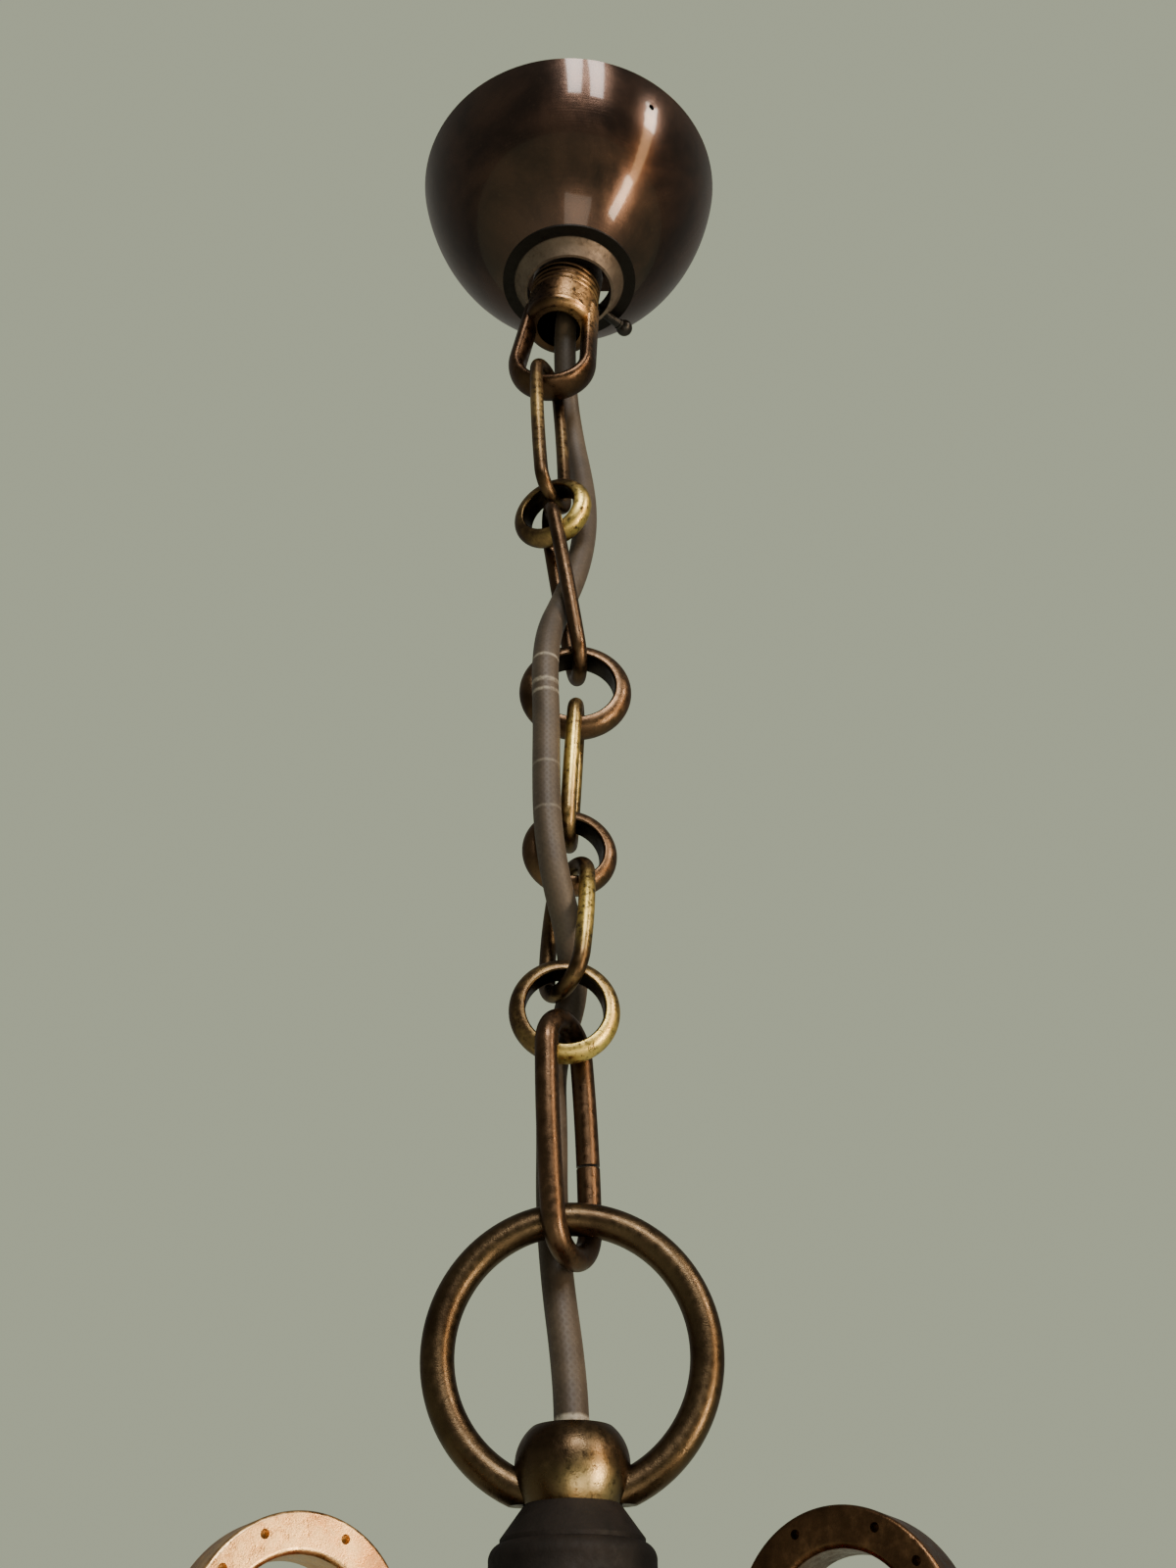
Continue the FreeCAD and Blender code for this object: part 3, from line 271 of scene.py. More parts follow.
def spun_bronze(name):
    """Very dark brown spun canopy, lacquered, with faint turning lines."""
    s = Shader(name)
    patches = s.noise(34.0, detail=5.0, rough=0.6, distort=0.4)
    grain = s.noise(900.0, detail=3.0, rough=0.6)
    colour = s.mix(s.spread(patches, 0.34, 0.66), CANOPY_BROWN, CANOPY_RED_BROWN)
    dust = s.math("MULTIPLY", s.spread(grain, 0.60, 0.74), 0.22)
    colour = s.mix(dust, colour, CANOPY_DUST)
    s.join(colour, s.bsdf.inputs["Base Color"])
    s.join(s.spread(patches, 0.3, 0.7, 0.20, 0.30), s.bsdf.inputs["Roughness"])
    rings = s.noise(1.0, detail=3.0, rough=0.6, stretch=(4.0, 4.0, 1500.0))
    relief = s.math("ADD", s.math("MULTIPLY", rings, 0.7), s.math("MULTIPLY", grain, 0.3))
    s.bump(relief, distance=0.00010, strength=0.35)
    s.set(Metallic=0.92, Coat_Weight=0.5, Coat_Roughness=0.07)
    return s.material


def collar_bronze(name):
    """Collar: black painted shade on the flat shoulder and in the bore, and a dusty grey-brown cone between
    them.
    """
    s = Shader(name)
    grain = s.noise(520.0, detail=4.0, rough=0.65)
    cloud = s.noise(90.0, detail=4.0, rough=0.6)
    cone = s.mix(s.spread(cloud, 0.3, 0.7), CONE_BROWN, CONE_GREY)
    cone = s.mix(s.math("MULTIPLY", s.spread(grain, 0.50, 0.72), 0.5), cone, CONE_SPECKS)
    axis = (0.0, 0.0, 0.0)
    inner = s.within(axis, COLLAR_BORE, COLLAR_BORE_EDGE, flat=True)
    shown = s.math("SUBTRACT", s.within(axis, COLLAR_SHOULDER, COLLAR_SHOULDER_EDGE, flat=True), inner)
    s.join(s.mix(shown, COLLAR_SHADE_BLACK, cone), s.bsdf.inputs["Base Color"])
    s.join(s.spread(grain, 0.3, 0.7, 0.46, 0.66), s.bsdf.inputs["Roughness"])
    s.set(Metallic=0.75)
    s.bump(grain, distance=0.0002, strength=0.6)
    return s.material


def painted(name, colour, dust, rough, coarse=420.0, metallic=0.0, shine=0.5):
    """Dull dark finish with dust and a fine grain."""
    s = Shader(name)
    cloud = s.noise(70.0, detail=5.0, rough=0.6)
    grain = s.noise(coarse, detail=4.0, rough=0.65)
    tone = s.mix(s.spread(cloud, 0.35, 0.7), colour, dust)
    tone = s.mix(s.math("MULTIPLY", s.spread(grain, 0.55, 0.75), 0.5), tone, dust)
    s.join(tone, s.bsdf.inputs["Base Color"])
    s.join(s.spread(grain, 0.3, 0.7, rough - 0.08, rough + 0.1), s.bsdf.inputs["Roughness"])
    s.set(Metallic=metallic, Specular_IOR_Level=shine)
    s.bump(grain, distance=0.0002, strength=0.6)
    return s.material


def steel(name):
    """Zinc-plated steel, clouded with a little rust."""
    s = Shader(name)
    cloud = s.noise(160.0, detail=5.0, rough=0.6)
    grain = s.noise(1400.0, detail=3.0, rough=0.6)
    tone = s.mix(s.spread(cloud, 0.45, 0.7), ZINC, RUST)
    s.join(tone, s.bsdf.inputs["Base Color"])
    s.join(s.spread(grain, 0.3, 0.7, 0.32, 0.52), s.bsdf.inputs["Roughness"])
    s.set(Metallic=1.0)
    s.bump(grain, distance=0.0001, strength=0.5)
    return s.material


def moulded(name, colour, shade, rough, coat=0.0):
    """Moulded plastic or glazed porcelain: even colour with faint clouds and specks."""
    s = Shader(name)
    cloud = s.noise(55.0, detail=4.0, rough=0.6)
    grain = s.noise(1100.0, detail=3.0, rough=0.6)
    tone = s.mix(s.spread(cloud, 0.3, 0.75), colour, shade)
    tone = s.mix(s.math("MULTIPLY", s.spread(grain, 0.62, 0.72), 0.3), tone, shade)
    s.join(tone, s.bsdf.inputs["Base Color"])
    s.join(s.spread(grain, 0.3, 0.7, rough, rough + 0.12), s.bsdf.inputs["Roughness"])
    s.set(Coat_Weight=coat)
    s.bump(grain, distance=0.00006, strength=0.5)
    return s.material


def glass(name, colour, deep, rough=0.03, waves=0.0004):
    """Blown glass with streaks, seeds and a slightly wavy face."""
    s = Shader(name)
    streak = s.noise(22.0, detail=3.0, rough=0.5, stretch=(1.0, 1.0, 0.45), distort=0.8)
    seeds = s.spread(s.noise(420.0, detail=1.0, rough=0.4), 0.74, 0.80)
    tone = s.mix(s.spread(streak, 0.3, 0.7), colour, deep)
    s.join(tone, s.bsdf.inputs["Base Color"])
    s.join(s.spread(s.noise(300.0), 0.3, 0.7, rough, rough + 0.05), s.bsdf.inputs["Roughness"])
    s.set(Transmission_Weight=1.0, IOR=1.5)
    relief = s.math("ADD", streak, s.math("MULTIPLY", seeds, 0.4))
    s.bump(relief, distance=waves, strength=0.5)
    return s.material


# Strands round the flex, and how many times a strand turns in a metre of it.
WEAVE_STRANDS = 12
WEAVE_TURNS = 540.0
FLEX_BROWN = (0.032, 0.021, 0.012)
FLEX_RUBBED = (0.062, 0.043, 0.026)
FLEX_GAP_SHADE = (0.020, 0.013, 0.009)
FLEX_FLUFF = (0.110, 0.086, 0.062)
TAPE_EDGE = 0.0004
TAPE_WHITE = (0.36, 0.32, 0.26)
# Bands of old tape: start and end in metres along the flex, and how strongly each shows.
TAPE_BANDS = [
    (0.1782, 0.1790, 0.55),
    (0.1860, 0.1872, 0.50),
    (0.1892, 0.1901, 0.50),
    (0.2120, 0.2127, 0.25),
    (0.2255, 0.2261, 0.22),
    (0.3682, 0.3697, 0.80),
]


def flex_skin(name):
    """Woven cotton-covered flex, brown-grey and rubbed, with whitish bands of old tape."""
    s = Shader(name)
    uv = s.add("ShaderNodeUVMap", uv_map="along").outputs["UV"]
    parts = s.add("ShaderNodeSeparateXYZ")
    s.join(uv, parts.inputs[0])
    round_it, along = parts.outputs[0], parts.outputs[1]
    turn = s.math("MULTIPLY", round_it, FULL_TURN * WEAVE_STRANDS)
    travel = s.math("MULTIPLY", along, FULL_TURN * WEAVE_TURNS)
    left = s.math("SINE", s.math("ADD", turn, travel), 0.0)
    right = s.math("SINE", s.math("SUBTRACT", turn, travel), 0.0)
    weave = s.math("MAXIMUM", left, right)
    cloud = s.noise(60.0, detail=5.0, rough=0.65)
    grain = s.noise(900.0, detail=3.0, rough=0.6)
    colour = s.mix(s.spread(cloud, 0.35, 0.68), FLEX_BROWN, FLEX_RUBBED)
    # Painted shade: darker in the low gaps of the weave.
    gap_shade = s.math("MULTIPLY", s.spread(weave, 0.9, -0.6), 0.12)
    colour = s.mix(gap_shade, colour, FLEX_GAP_SHADE)
    fluff = s.math("MULTIPLY", s.spread(grain, 0.58, 0.74), 0.30)
    colour = s.mix(fluff, colour, FLEX_FLUFF)
    for low, high, share in TAPE_BANDS:
        after_start = s.spread(along, low - TAPE_EDGE, low + TAPE_EDGE)
        before_end = s.spread(along, high - TAPE_EDGE, high + TAPE_EDGE, 1.0, 0.0)
        band = s.math("MULTIPLY", after_start, before_end)
        patchy = s.math("MULTIPLY", band, s.spread(grain, 0.30, 0.62, 0.25 * share, share))
        colour = s.mix(patchy, colour, TAPE_WHITE)
    s.join(colour, s.bsdf.inputs["Base Color"])
    s.join(s.spread(weave, -1.0, 1.0, 0.62, 0.54), s.bsdf.inputs["Roughness"])
    s.set(Sheen_Weight=0.04)
    relief = s.math("ADD", s.math("MULTIPLY", weave, 0.4), s.math("MULTIPLY", grain, 0.6))
    s.bump(relief, distance=0.00006, strength=0.4)
    return s.material


# ---------------------------------------------------------------- flex

FLEX_DIAMETER = 0.007
# Control points of the flex's line, the same as in the CAD, from the stem down to the lamp's tube.
FLEX_ROUTE = [
    (0.0, 0.0, -0.040), (0.0, 0.0, -0.055), (-0.0016, 0.0018, -0.072),
    (-0.0013, 0.0106, -0.089), (0.0009, 0.0149, -0.106), (0.0034, 0.0134, -0.124),
    (0.0046, 0.0098, -0.141), (0.0040, 0.0062, -0.157), (0.0018, 0.0032, -0.172),
    (-0.0020, 0.0004, -0.186), (-0.0057, -0.0045, -0.200), (-0.0066, -0.0073, -0.215),
    (-0.0060, -0.0064, -0.231), (-0.0060, -0.0068, -0.247), (-0.0056, -0.0070, -0.263),
    (-0.0036, -0.0059, -0.278), (0.0, 0.0003, -0.291), (0.0007, 0.0064, -0.304),
    (-0.0050, 0.0078, -0.319), (-0.0044, 0.0062, -0.337), (-0.0045, 0.0076, -0.353),
    (-0.0032, 0.0075, -0.369), (-0.0010, 0.0038, -0.385), (0.0, 0.0, -0.398),
    (0.0, 0.0, -0.411),
]
# Order and resolution of the flex's line, points round each section, and the step between sections.
FLEX_ORDER = 3
FLEX_RESOLUTION = 40
FLEX_ROUND = 40
FLEX_STEP = 0.0006
# Bodies in the order in which the flex passes them.
CHAIN = ["mount"] + [f"{kind}_{n}" for n in range(1, 5) for kind in ("link", "ring")] + ["link_5", "lamp"]


def flex_line():
    """Points along the flex's smooth line, from the top down."""
    curve = bpy.data.curves.new("flex_line", "CURVE")
    curve.dimensions = "3D"
    curve.resolution_u = FLEX_RESOLUTION
    spline = curve.splines.new("NURBS")
    spline.points.add(len(FLEX_ROUTE) - 1)
    for point, place in zip(spline.points, FLEX_ROUTE):
        point.co = (*place, 1.0)
    spline.order_u = FLEX_ORDER
    spline.use_endpoint_u = True
    carrier = bpy.data.objects.new("flex_line", curve)
    bpy.context.scene.collection.objects.link(carrier)
    bpy.context.view_layer.update()
    carrier_now = carrier.evaluated_get(bpy.context.evaluated_depsgraph_get())
    mesh = bpy.data.meshes.new_from_object(carrier_now)
    points = [vertex.co.copy() for vertex in mesh.vertices]
    bpy.data.objects.remove(carrier)
    bpy.data.meshes.remove(mesh)
    return points


def even_steps(points, step):
    """The same line in even steps: list of (place, distance along)."""
    out = [(points[0].copy(), 0.0)]
    along = 0.0
    due = step
    for a, b in zip(points, points[1:]):
        length = (b - a).length
        while due <= along + length and length > 0:
            out.append((a.lerp(b, (due - along) / length), due))
            due += step
        along += length
    out.append((points[-1].copy(), along))
    return out


def flex_sections(line):
    """Cross-sections of the flex: rings of points carried along the line without twist."""
    sections = []
    side = Vector((1, 0, 0))
    for index, (place, along) in enumerate(line):
        before = line[max(index - 1, 0)][0]
        after = line[min(index + 1, len(line) - 1)][0]
        ahead = (after - before).normalized()
        side = (side - ahead * side.dot(ahead)).normalized()
        up = ahead.cross(side)
        ring = []
        for turn in range(FLEX_ROUND):
            angle = FULL_TURN * turn / FLEX_ROUND
            outward = side * math.cos(angle) + up * math.sin(angle)
            ring.append(place + outward * FLEX_DIAMETER / 2)
        sections.append((ring, along, place))
    return sections


def flex_span(name, sections, cap_first, cap_last):
    """Mesh tube over some of the sections. Its uv map holds the share of a turn and the way along."""
    verts = [tuple(point) for ring, _, _ in sections for point in ring]
    faces = []
    for row in range(len(sections) - 1):
        for turn in range(FLEX_ROUND):
            a = row * FLEX_ROUND + turn
            b = row * FLEX_ROUND + (turn + 1) % FLEX_ROUND
            faces.append((a, b, b + FLEX_ROUND, a + FLEX_ROUND))
    if cap_first:
        faces.append(tuple(reversed(range(FLEX_ROUND))))
    if cap_last:
        last = (len(sections) - 1) * FLEX_ROUND
        faces.append(tuple(range(last, last + FLEX_ROUND)))
    mesh = bpy.data.meshes.new(name)
    mesh.from_pydata(verts, [], faces)
    layer = mesh.uv_layers.new(name="along")
    for polygon in mesh.polygons:
        turns = [mesh.loops[i].vertex_index % FLEX_ROUND for i in polygon.loop_indices]
        wraps = max(turns) - min(turns) > FLEX_ROUND / 2 and len(turns) == 4
        for i, turn in zip(polygon.loop_indices, turns):
            row = mesh.loops[i].vertex_index // FLEX_ROUND
            share = 1.0 if wraps and turn == 0 else turn / FLEX_ROUND
            layer.data[i].uv = (share, sections[row][1])
        polygon.use_smooth = len(turns) == 4
    return mesh


def make_flex(material):
    """The flex in spans, cut where it passes each body. Each span shares its end sections with its
    neighbours.
    """
    sections = flex_sections(even_steps(flex_line(), FLEX_STEP))
    cuts = [0]
    for node in CHAIN[1:-1]:
        z = middle(node).z
        cuts.append(min(range(len(sections)), key=lambda i: abs(sections[i][2].z - z)))
    cuts.append(len(sections) - 1)
    final = len(CHAIN) - 2
    for index, (above, below) in enumerate(zip(CHAIN, CHAIN[1:])):
        name = f"flex_span_{index + 1}"
        part = sections[cuts[index]:cuts[index + 1] + 1]
        piece = link_object(name, flex_span(name, part, index == 0, index == final), material)
        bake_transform(piece)
        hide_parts("flex")


# ---------------------------------------------------------------- ruby glass

GLASS_BANDS = ("glass_neck", "glass_belly", "glass_foot")
# Millimetres, the same as in the CAD. The drops are counted from the rim's top.
GLASS_WALL = 3.0
GLASS_RIM_HEIGHT = 5.0
GLASS_LIP = 5.0
GLASS_NECK_HEIGHT = 17.0
GLASS_BELLY_DROP = 48.0
GLASS_FOOT = 44.0
GLASS_INNER_FOOT_STEP = 1.0
# The rim's edges are rounded with this radius, and the round's middle lies this far in.
GLASS_EDGE = 1.2
GLASS_EDGE_MIDDLE = 0.35
# Middle points of the arcs over and under the belly: shares of the way out, and shifts in height.
GLASS_SWELL_SHARE = 0.62
GLASS_SWELL_RISE = 2
GLASS_WAIST_SHARE = 0.86
GLASS_WAIST_DROP = 4
GLASS_INNER_WAIST_DROP = 3
GLASS_INNER_WAIST_WALL = 0.9
GLASS_EDGE_STEPS = 6
GLASS_SWELL_STEPS = 24
GLASS_WAIST_STEPS = 48
GLASS_ROUND = 128
GLASS_SHARP_ANGLE = math.radians(32)
ON_AXIS = 0.001


def through(a, b, c, steps):
    """Points after a on the arc from a past b to c, in the plane of radius and height."""
    (ax, az), (bx, bz), (cx, cz) = a, b, c
    twice = 2 * (ax * (bz - cz) + bx * (cz - az) + cx * (az - bz))
    a_square = ax ** 2 + az ** 2
    b_square = bx ** 2 + bz ** 2
    c_square = cx ** 2 + cz ** 2
    x = (a_square * (bz - cz) + b_square * (cz - az) + c_square * (az - bz)) / twice
    z = (a_square * (cx - bx) + b_square * (ax - cx) + c_square * (bx - ax)) / twice
    radius = math.hypot(ax - x, az - z)
    first = math.atan2(az - z, ax - x)
    past = (math.atan2(bz - z, bx - x) - first) % FULL_TURN
    sweep = (math.atan2(cz - z, cx - x) - first) % FULL_TURN
    if past > sweep:
        sweep -= FULL_TURN
    angles = [first + sweep * step / steps for step in range(1, steps + 1)]
    return [(x + radius * math.cos(angle), z + radius * math.sin(angle)) for angle in angles]


def glass_profile(top, low, rim, belly):
    """Outline of the glass's wall in mm, from the rim's inner edge out, down, and up the inside."""
    neck = rim - GLASS_LIP
    foot = GLASS_FOOT / 2
    wall = GLASS_WALL
    neck_z = top - GLASS_NECK_HEIGHT
    belly_z = top - GLASS_BELLY_DROP
    swell = neck + (belly - neck) * GLASS_SWELL_SHARE
    swell_z = (neck_z + belly_z) / 2 + GLASS_SWELL_RISE
    waist = belly * GLASS_WAIST_SHARE
    waist_z = (belly_z + low) / 2
    inner_waist = (waist - wall * GLASS_INNER_WAIST_WALL, waist_z - GLASS_INNER_WAIST_DROP)
    rim_low = top - GLASS_RIM_HEIGHT
    edge = GLASS_EDGE
    edge_top = (rim - GLASS_EDGE_MIDDLE, top - GLASS_EDGE_MIDDLE)
    edge_low = (rim - GLASS_EDGE_MIDDLE, rim_low + GLASS_EDGE_MIDDLE)
    line = [(neck - wall, top), (rim - edge, top)]
    line += through(line[-1], edge_top, (rim, top - edge), GLASS_EDGE_STEPS)
    line.append((rim, rim_low + edge))
    line += through(line[-1], edge_low, (rim - edge, rim_low), GLASS_EDGE_STEPS)
    line += [(neck, rim_low), (neck, neck_z)]
    line += through(line[-1], (swell, swell_z), (belly, belly_z), GLASS_SWELL_STEPS)
    line += through(line[-1], (waist, waist_z - GLASS_WAIST_DROP), (foot, low), GLASS_WAIST_STEPS)
    line += [(0.0, low), (0.0, low + wall), (foot - GLASS_INNER_FOOT_STEP, low + wall)]
    line += through(line[-1], inner_waist, (belly - wall, belly_z), GLASS_WAIST_STEPS)
    line += through(line[-1], (swell - wall, swell_z), (neck - wall, neck_z), GLASS_SWELL_STEPS)
    return line


def turned_mesh(name, line):
    """Mesh of a closed outline turned about the upright axis. Points on the axis become single vertices."""
    verts, rows = [], []
    for radius, z in line:
        if radius < ON_AXIS:
            rows.append([len(verts)] * GLASS_ROUND)
            verts.append((0.0, 0.0, z * MM))
            continue
        rows.append(list(range(len(verts), len(verts) + GLASS_ROUND)))
        for turn in range(GLASS_ROUND):
            angle = FULL_TURN * turn / GLASS_ROUND
            verts.append((radius * MM * math.cos(angle), radius * MM * math.sin(angle), z * MM))
    faces = []
    for row, below in zip(rows, rows[1:] + rows[:1]):
        for turn in range(GLASS_ROUND):
            ahead = (turn + 1) % GLASS_ROUND
            corners = list(dict.fromkeys((row[turn], below[turn], below[ahead], row[ahead])))
            if len(corners) > 2:
                faces.append(corners)
    mesh = bpy.data.meshes.new(name)
    mesh.from_pydata(verts, [], faces)
    mesh.shade_smooth()
    mesh.set_sharp_from_angle(angle=GLASS_SHARP_ANGLE)
    return mesh


def make_ruby_glass(material):
    """The blown glass in one piece. It stands for the three bands the CAD keeps it in."""
    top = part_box("glass_neck")[1].z / MM
    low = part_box("glass_foot")[0].z / MM
    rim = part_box("glass_neck")[1].x / MM
    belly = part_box("glass_belly")[1].x / MM
    mesh = turned_mesh("ruby_glass", glass_profile(top, low, rim, belly))
    piece = link_object("ruby_glass", mesh, material)
    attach(piece, "lamp")
    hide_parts(*GLASS_BANDS)


# ---------------------------------------------------------------- dressing the CAD nodes

def dress(node, material):
    """Gives a CAD node its finish."""
    mesh = NODES[node].data
    if not mesh.materials:
        mesh.materials.append(material)
    for index in range(len(mesh.materials)):
        mesh.materials[index] = material


def highlight_at(node, aside, radius, tint):
    """Painted highlight on a node: a point off its middle, in mm, a radius in mm, and the tint."""
    return tuple(middle(node) + Vector(aside) * MM), radius * MM, tint


def ring_inner_shade(node, radius):
    """Painted shade on a ring's inner face: what lies within a radius of its middle, in mm."""
    return tuple(middle(node)), radius * MM, False, ANY_HEIGHT


dress("canopy_cup", spun_bronze("canopy_bronze"))
dress("collar", collar_bronze("collar_bronze"))
dress("clamp_screw", painted("black_screw", (0.012, 0.011, 0.010), (0.05, 0.045, 0.04), 0.34, metallic=0.8))
# The loop gets a painted highlight at its lower right and black painted shade in its eye.
dress("loop_fitting", metal("loop_bronze", body=(0.080, 0.046, 0.026), worn=COPPER, worn_share=0.45,
                            rough=(0.24, 0.42),
                            painted_highlight=((0.0070, -0.0070, -0.0660), 0.016, (0.62, 0.36, 0.15)),
                            painted_shade=(EYE_PLACE, EYE_RADIUS, True, EYE_LOWEST)))

RED_BROWN = (0.125, 0.076, 0.042)
# Finish of the two brackets that stand in shade: the same brass as bracket_1, painted dark as painted
# shade.
SHADED_BRACKET_FINISH = {"body": (0.130, 0.070, 0.034), "worn": (0.40, 0.22, 0.10), "worn_share": 0.6}
# The highlight entries below paint highlights on the sides of the links, rings and knuckle that face the
# lights.
BRASS_PARTS = {
    "link_1": {"worn_share": 0.55, "painted_highlight": highlight_at("link_1", (-3, -7, 4), 12, GOLD)},
    "ring_1": {"worn_share": 0.8, "painted_highlight": highlight_at("ring_1", (9, -3, -3), 14, YELLOW),
               "painted_shade": ring_inner_shade("ring_1", 8.9)},
    "link_2": {"body": (0.092, 0.056, 0.031), "worn": COPPER, "worn_share": 0.4},
    "ring_2": {"body": RED_BROWN, "worn": COPPER, "worn_share": 0.6, "painted_shade": ring_inner_shade("ring_2", 11.3)},
    "link_3": {"worn_share": 0.8, "painted_highlight": highlight_at("link_3", (0, -4, 2), 17, YELLOW)},
    "ring_3": {"body": RED_BROWN, "worn": COPPER, "worn_share": 0.6, "painted_shade": ring_inner_shade("ring_3", 8.9)},
    "link_4": {"worn_share": 0.7, "painted_highlight": highlight_at("link_4", (5, -6, 1), 15, YELLOW), "spots": 0.45},
    "ring_4": {"worn_share": 0.8, "painted_highlight": highlight_at("ring_4", (8, -2, -8), 17, YELLOW), "spots": 0.5,
               "painted_shade": ring_inner_shade("ring_4", 9.9)},
    "link_5": {"body": (0.112, 0.067, 0.038), "worn": COPPER, "worn_share": 0.5},
    "top_ring": {"body": (0.096, 0.064, 0.034), "worn": (0.26, 0.185, 0.088), "worn_share": 0.35,
                 "rough": (0.26, 0.40),
                 "painted_highlight": highlight_at("top_ring", (4, -11, -29), 9, (0.70, 0.52, 0.24))},
    "hub": {"worn_share": 0.6},
    "central_tube": {"worn_share": 0.5},
    "hub_nut": {"worn_share": 0.7},
    # bracket_1 is the lit copy of the three alike brackets: painted light over its whole face.
    "bracket_1": {"body": (0.520, 0.290, 0.120), "stain": (0.22, 0.10, 0.05), "worn": (0.86, 0.60, 0.30),
                  "worn_share": 0.9},
    "bracket_2": SHADED_BRACKET_FINISH,
    "bracket_3": SHADED_BRACKET_FINISH,
    "gallery_ring": {"body": (0.200, 0.110, 0.048), "worn_share": 0.7, "rough": (0.24, 0.42)},
    "holder_shell": {"body": (0.420, 0.270, 0.100), "worn": YELLOW, "worn_share": 0.7},
    "stem_tube": {"body": (0.330, 0.210, 0.085), "worn_share": 0.8},
}
for node, finish in BRASS_PARTS.items():
    dress(node, metal(f"{node}_brass", **finish))

dress("crown_cap", painted("cap_black", (0.0060, 0.0045, 0.0036), (0.014, 0.010, 0.008), 0.66,
                           coarse=700.0, shine=0.2))
zinc = steel("zinc_plate")
for node in ("ceiling_plate", "stem_nut", "arm_screws", "foot_screws", "glass_screws", "bulb_cap"):
    dress(node, zinc)
plain_brass = metal("contact_brass", body=(0.500, 0.340, 0.130), worn=YELLOW, worn_share=0.9)
for node in ("terminal_screws", "holder_contacts"):
    dress(node, plain_brass)
dress("terminal_block", moulded("terminal_plastic", (0.74, 0.71, 0.62), (0.60, 0.56, 0.46), 0.45))
dress("core_wires", moulded("core_plastic", (0.25, 0.10, 0.05), (0.16, 0.07, 0.04), 0.40))
dress("holder_insert", moulded("porcelain", (0.80, 0.77, 0.70), (0.66, 0.62, 0.55), 0.16, coat=0.6))
dress("shade_ring", moulded("black_plastic", (0.025, 0.020, 0.018), (0.055, 0.045, 0.040), 0.28, coat=0.3))
dress("bulb_glass", glass("bulb_glass", (0.97, 0.96, 0.93), (0.93, 0.92, 0.88), rough=0.02, waves=0.0001))
dress("flex_tail", moulded("flex_tail_skin", (0.075, 0.054, 0.040), (0.045, 0.031, 0.023), 0.6))
make_ruby_glass(glass("ruby_glass", (0.62, 0.012, 0.010), (0.36, 0.004, 0.006)))
make_flex(flex_skin("flex_weave"))


# ---------------------------------------------------------------- stage, light and camera

# How far the floor lies under the lamp, half the floor's width, and its two tones.
FLOOR_DROP = 1.4
FLOOR_HALF = 30.0
FLOOR_TONES = ((0.80, 0.79, 0.80), (0.84, 0.83, 0.84))
# Colour and strength of the surround, as it is seen and as polished metal mirrors it.
SEEN_ROOM = ((0.400, 0.430, 0.310, 1.0), 1.0)
MIRRORED_ROOM = ((0.62, 0.60, 0.52, 1.0), 0.28)
# Name, place, target, size, power and colour of each lamp.
LIGHTS = (
    ("window_left", (0.13, -1.7, 1.0), (0, 0, -0.05), (0.30, 0.85), 17.0, (1.0, 0.97, 0.93)),
    ("window_right", (0.57, -1.7, 1.0), (0, 0, -0.05), (0.30, 0.85), 17.0, (1.0, 0.97, 0.93)),
    ("side_window", (1.55, -1.02, 0.75), (0, 0, -0.05), (0.30, 0.5), 14.0, (1.0, 0.90, 0.78)),
    ("warm_wall", (1.40, -0.94, -0.10), (0, 0, -0.10), (0.24, 1.6), 12.0, (1.0, 0.62, 0.30)),
    ("low_window", (1.30, -0.92, -0.75), (0, 0, -0.20), (0.24, 0.7), 14.0, (1.0, 0.86, 0.66)),
    ("low_fill", (0.2, -1.0, -1.0), (0, 0, -0.45), (0.6, 0.4), 2.0, (1.0, 0.9, 0.75)),
)
# The camera looks up by its pitch and is turned about its own axis by its roll, in degrees.
CAMERA_PLACE = (0.0044, -0.3106, -0.460)
CAMERA_PITCH = 34.46
CAMERA_ROLL = 0.62
CAMERA_LENS = 34.2
CAMERA_SENSOR = 36.0
CAMERA_SEES_FROM = 0.01
CAMERA_SEES_TO = 100.0


def stage_floor():
    """Plain pale floor under the hanging lamp."""
    floor_z = CAD_BOX[0][2] - FLOOR_DROP
    corners = [(x * FLOOR_HALF, y * FLOOR_HALF, floor_z) for x, y in ((-1, -1), (1, -1), (1, 1), (-1, 1))]
    mesh = bpy.data.meshes.new("floor")
    mesh.from_pydata(corners, [], [(0, 1, 2, 3)])
    s = Shader("pale_floor")
    cloud = s.spread(s.noise(1.5), 0.3, 0.7)
    s.join(s.mix(cloud, *FLOOR_TONES), s.bsdf.inputs["Base Color"])
    s.set(Roughness=0.8)
    link_object("floor", mesh, s.material)


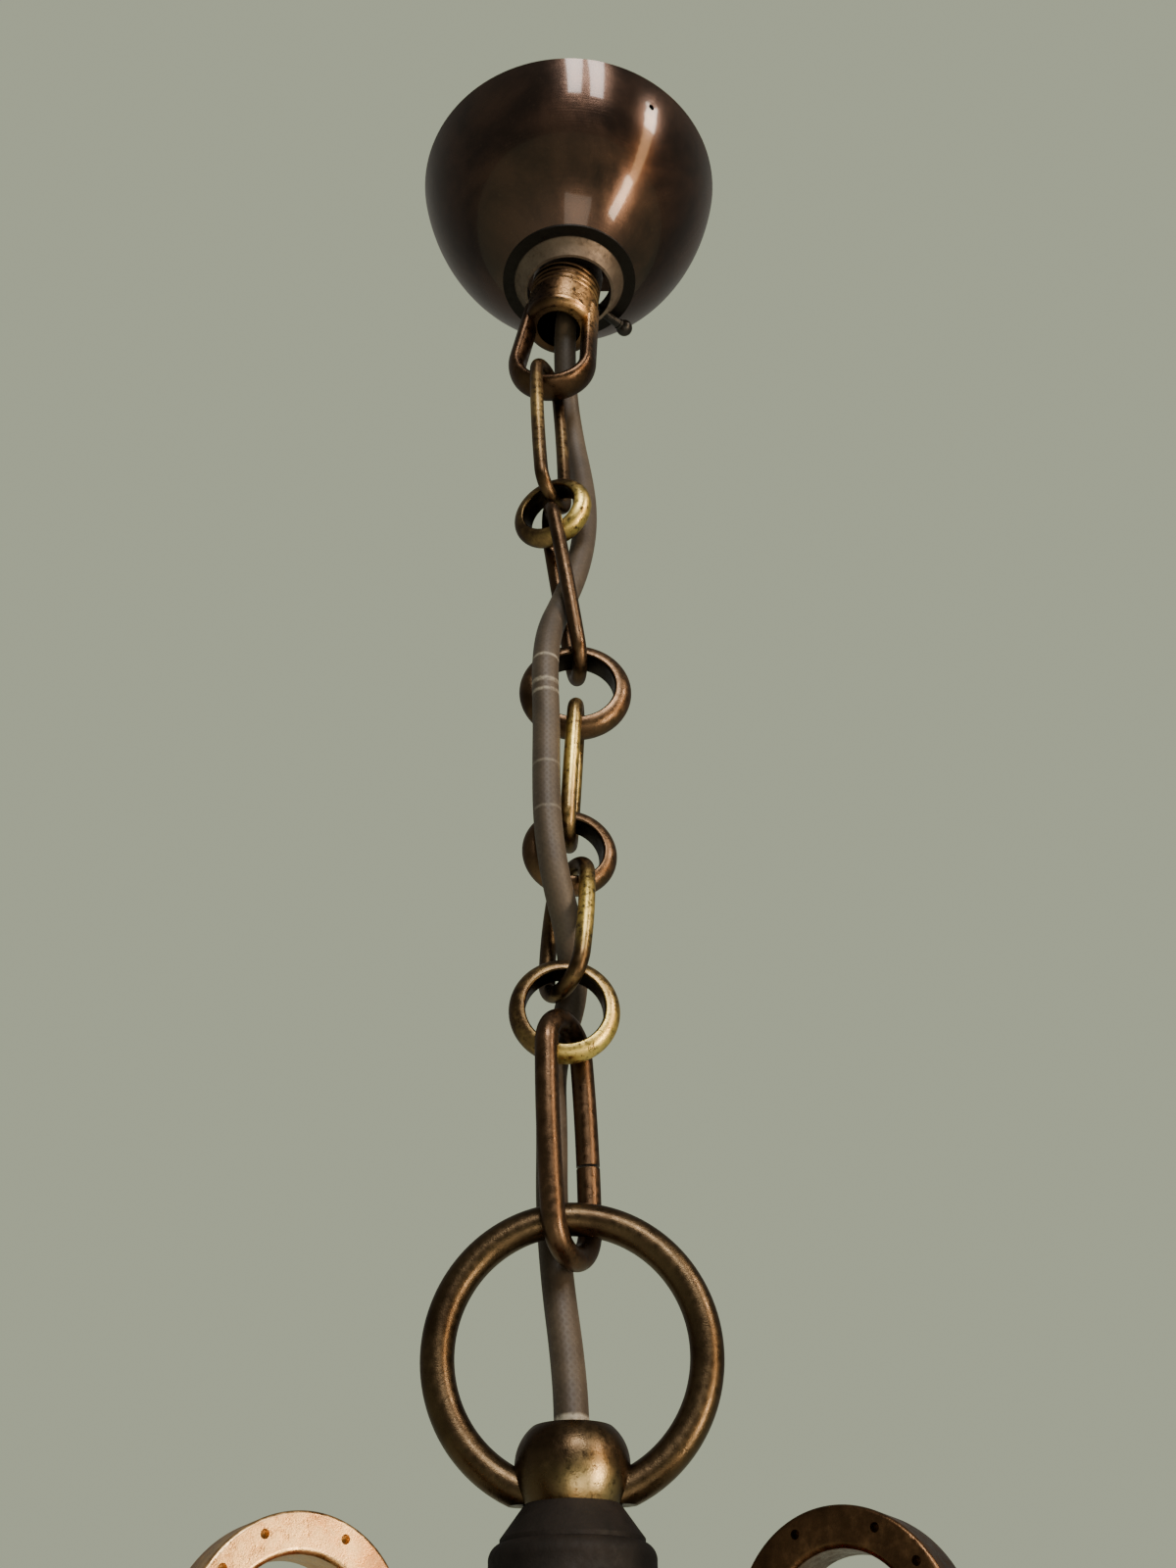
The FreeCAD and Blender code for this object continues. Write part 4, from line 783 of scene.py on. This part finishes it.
def background(tree, colour, strength):
    node = tree.nodes.new("ShaderNodeBackground")
    node.inputs["Color"].default_value = colour
    node.inputs["Strength"].default_value = strength
    return node.outputs[0]


def studio_world():
    """Pale grey-green surround, and a dimmer room for polished metal to mirror."""
    world = bpy.data.worlds.new("room")
    bpy.context.scene.world = world
    world.use_nodes = True
    tree = world.node_tree
    tree.nodes.clear()
    path = tree.nodes.new("ShaderNodeLightPath")
    mix = tree.nodes.new("ShaderNodeMixShader")
    out = tree.nodes.new("ShaderNodeOutputWorld")
    tree.links.new(path.outputs["Is Glossy Ray"], mix.inputs[0])
    tree.links.new(background(tree, *SEEN_ROOM), mix.inputs[1])
    tree.links.new(background(tree, *MIRRORED_ROOM), mix.inputs[2])
    tree.links.new(mix.outputs[0], out.inputs["Surface"])


def area_light(name, place, target, size, power, colour):
    """Rectangular lamp that points at a target and is not seen itself."""
    light = bpy.data.lights.new(name, "AREA")
    light.shape = "RECTANGLE"
    light.size, light.size_y = size
    light.energy = power
    light.color = colour
    lamp = bpy.data.objects.new(name, light)
    lamp.location = place
    lamp.rotation_mode = "QUATERNION"
    lamp.rotation_quaternion = (Vector(target) - Vector(place)).to_track_quat("-Z", "Y")
    lamp.visible_camera = False
    bpy.context.scene.collection.objects.link(lamp)


def make_camera():
    """Camera at the photograph's viewing angle."""
    data = bpy.data.cameras.new("camera")
    data.sensor_fit = "AUTO"
    data.sensor_width = CAMERA_SENSOR
    data.lens = CAMERA_LENS
    data.clip_start = CAMERA_SEES_FROM
    data.clip_end = CAMERA_SEES_TO
    camera = bpy.data.objects.new("camera", data)
    camera.rotation_mode = "QUATERNION"
    pitch = Euler((math.radians(90 + CAMERA_PITCH), 0, 0)).to_matrix()
    roll = Matrix.Rotation(math.radians(-CAMERA_ROLL), 3, "Z")
    camera.rotation_quaternion = (pitch @ roll).to_quaternion()
    camera.location = CAMERA_PLACE
    bpy.context.scene.collection.objects.link(camera)
    bpy.context.scene.camera = camera


stage_floor()
studio_world()
for light in LIGHTS:
    area_light(*light)
make_camera()
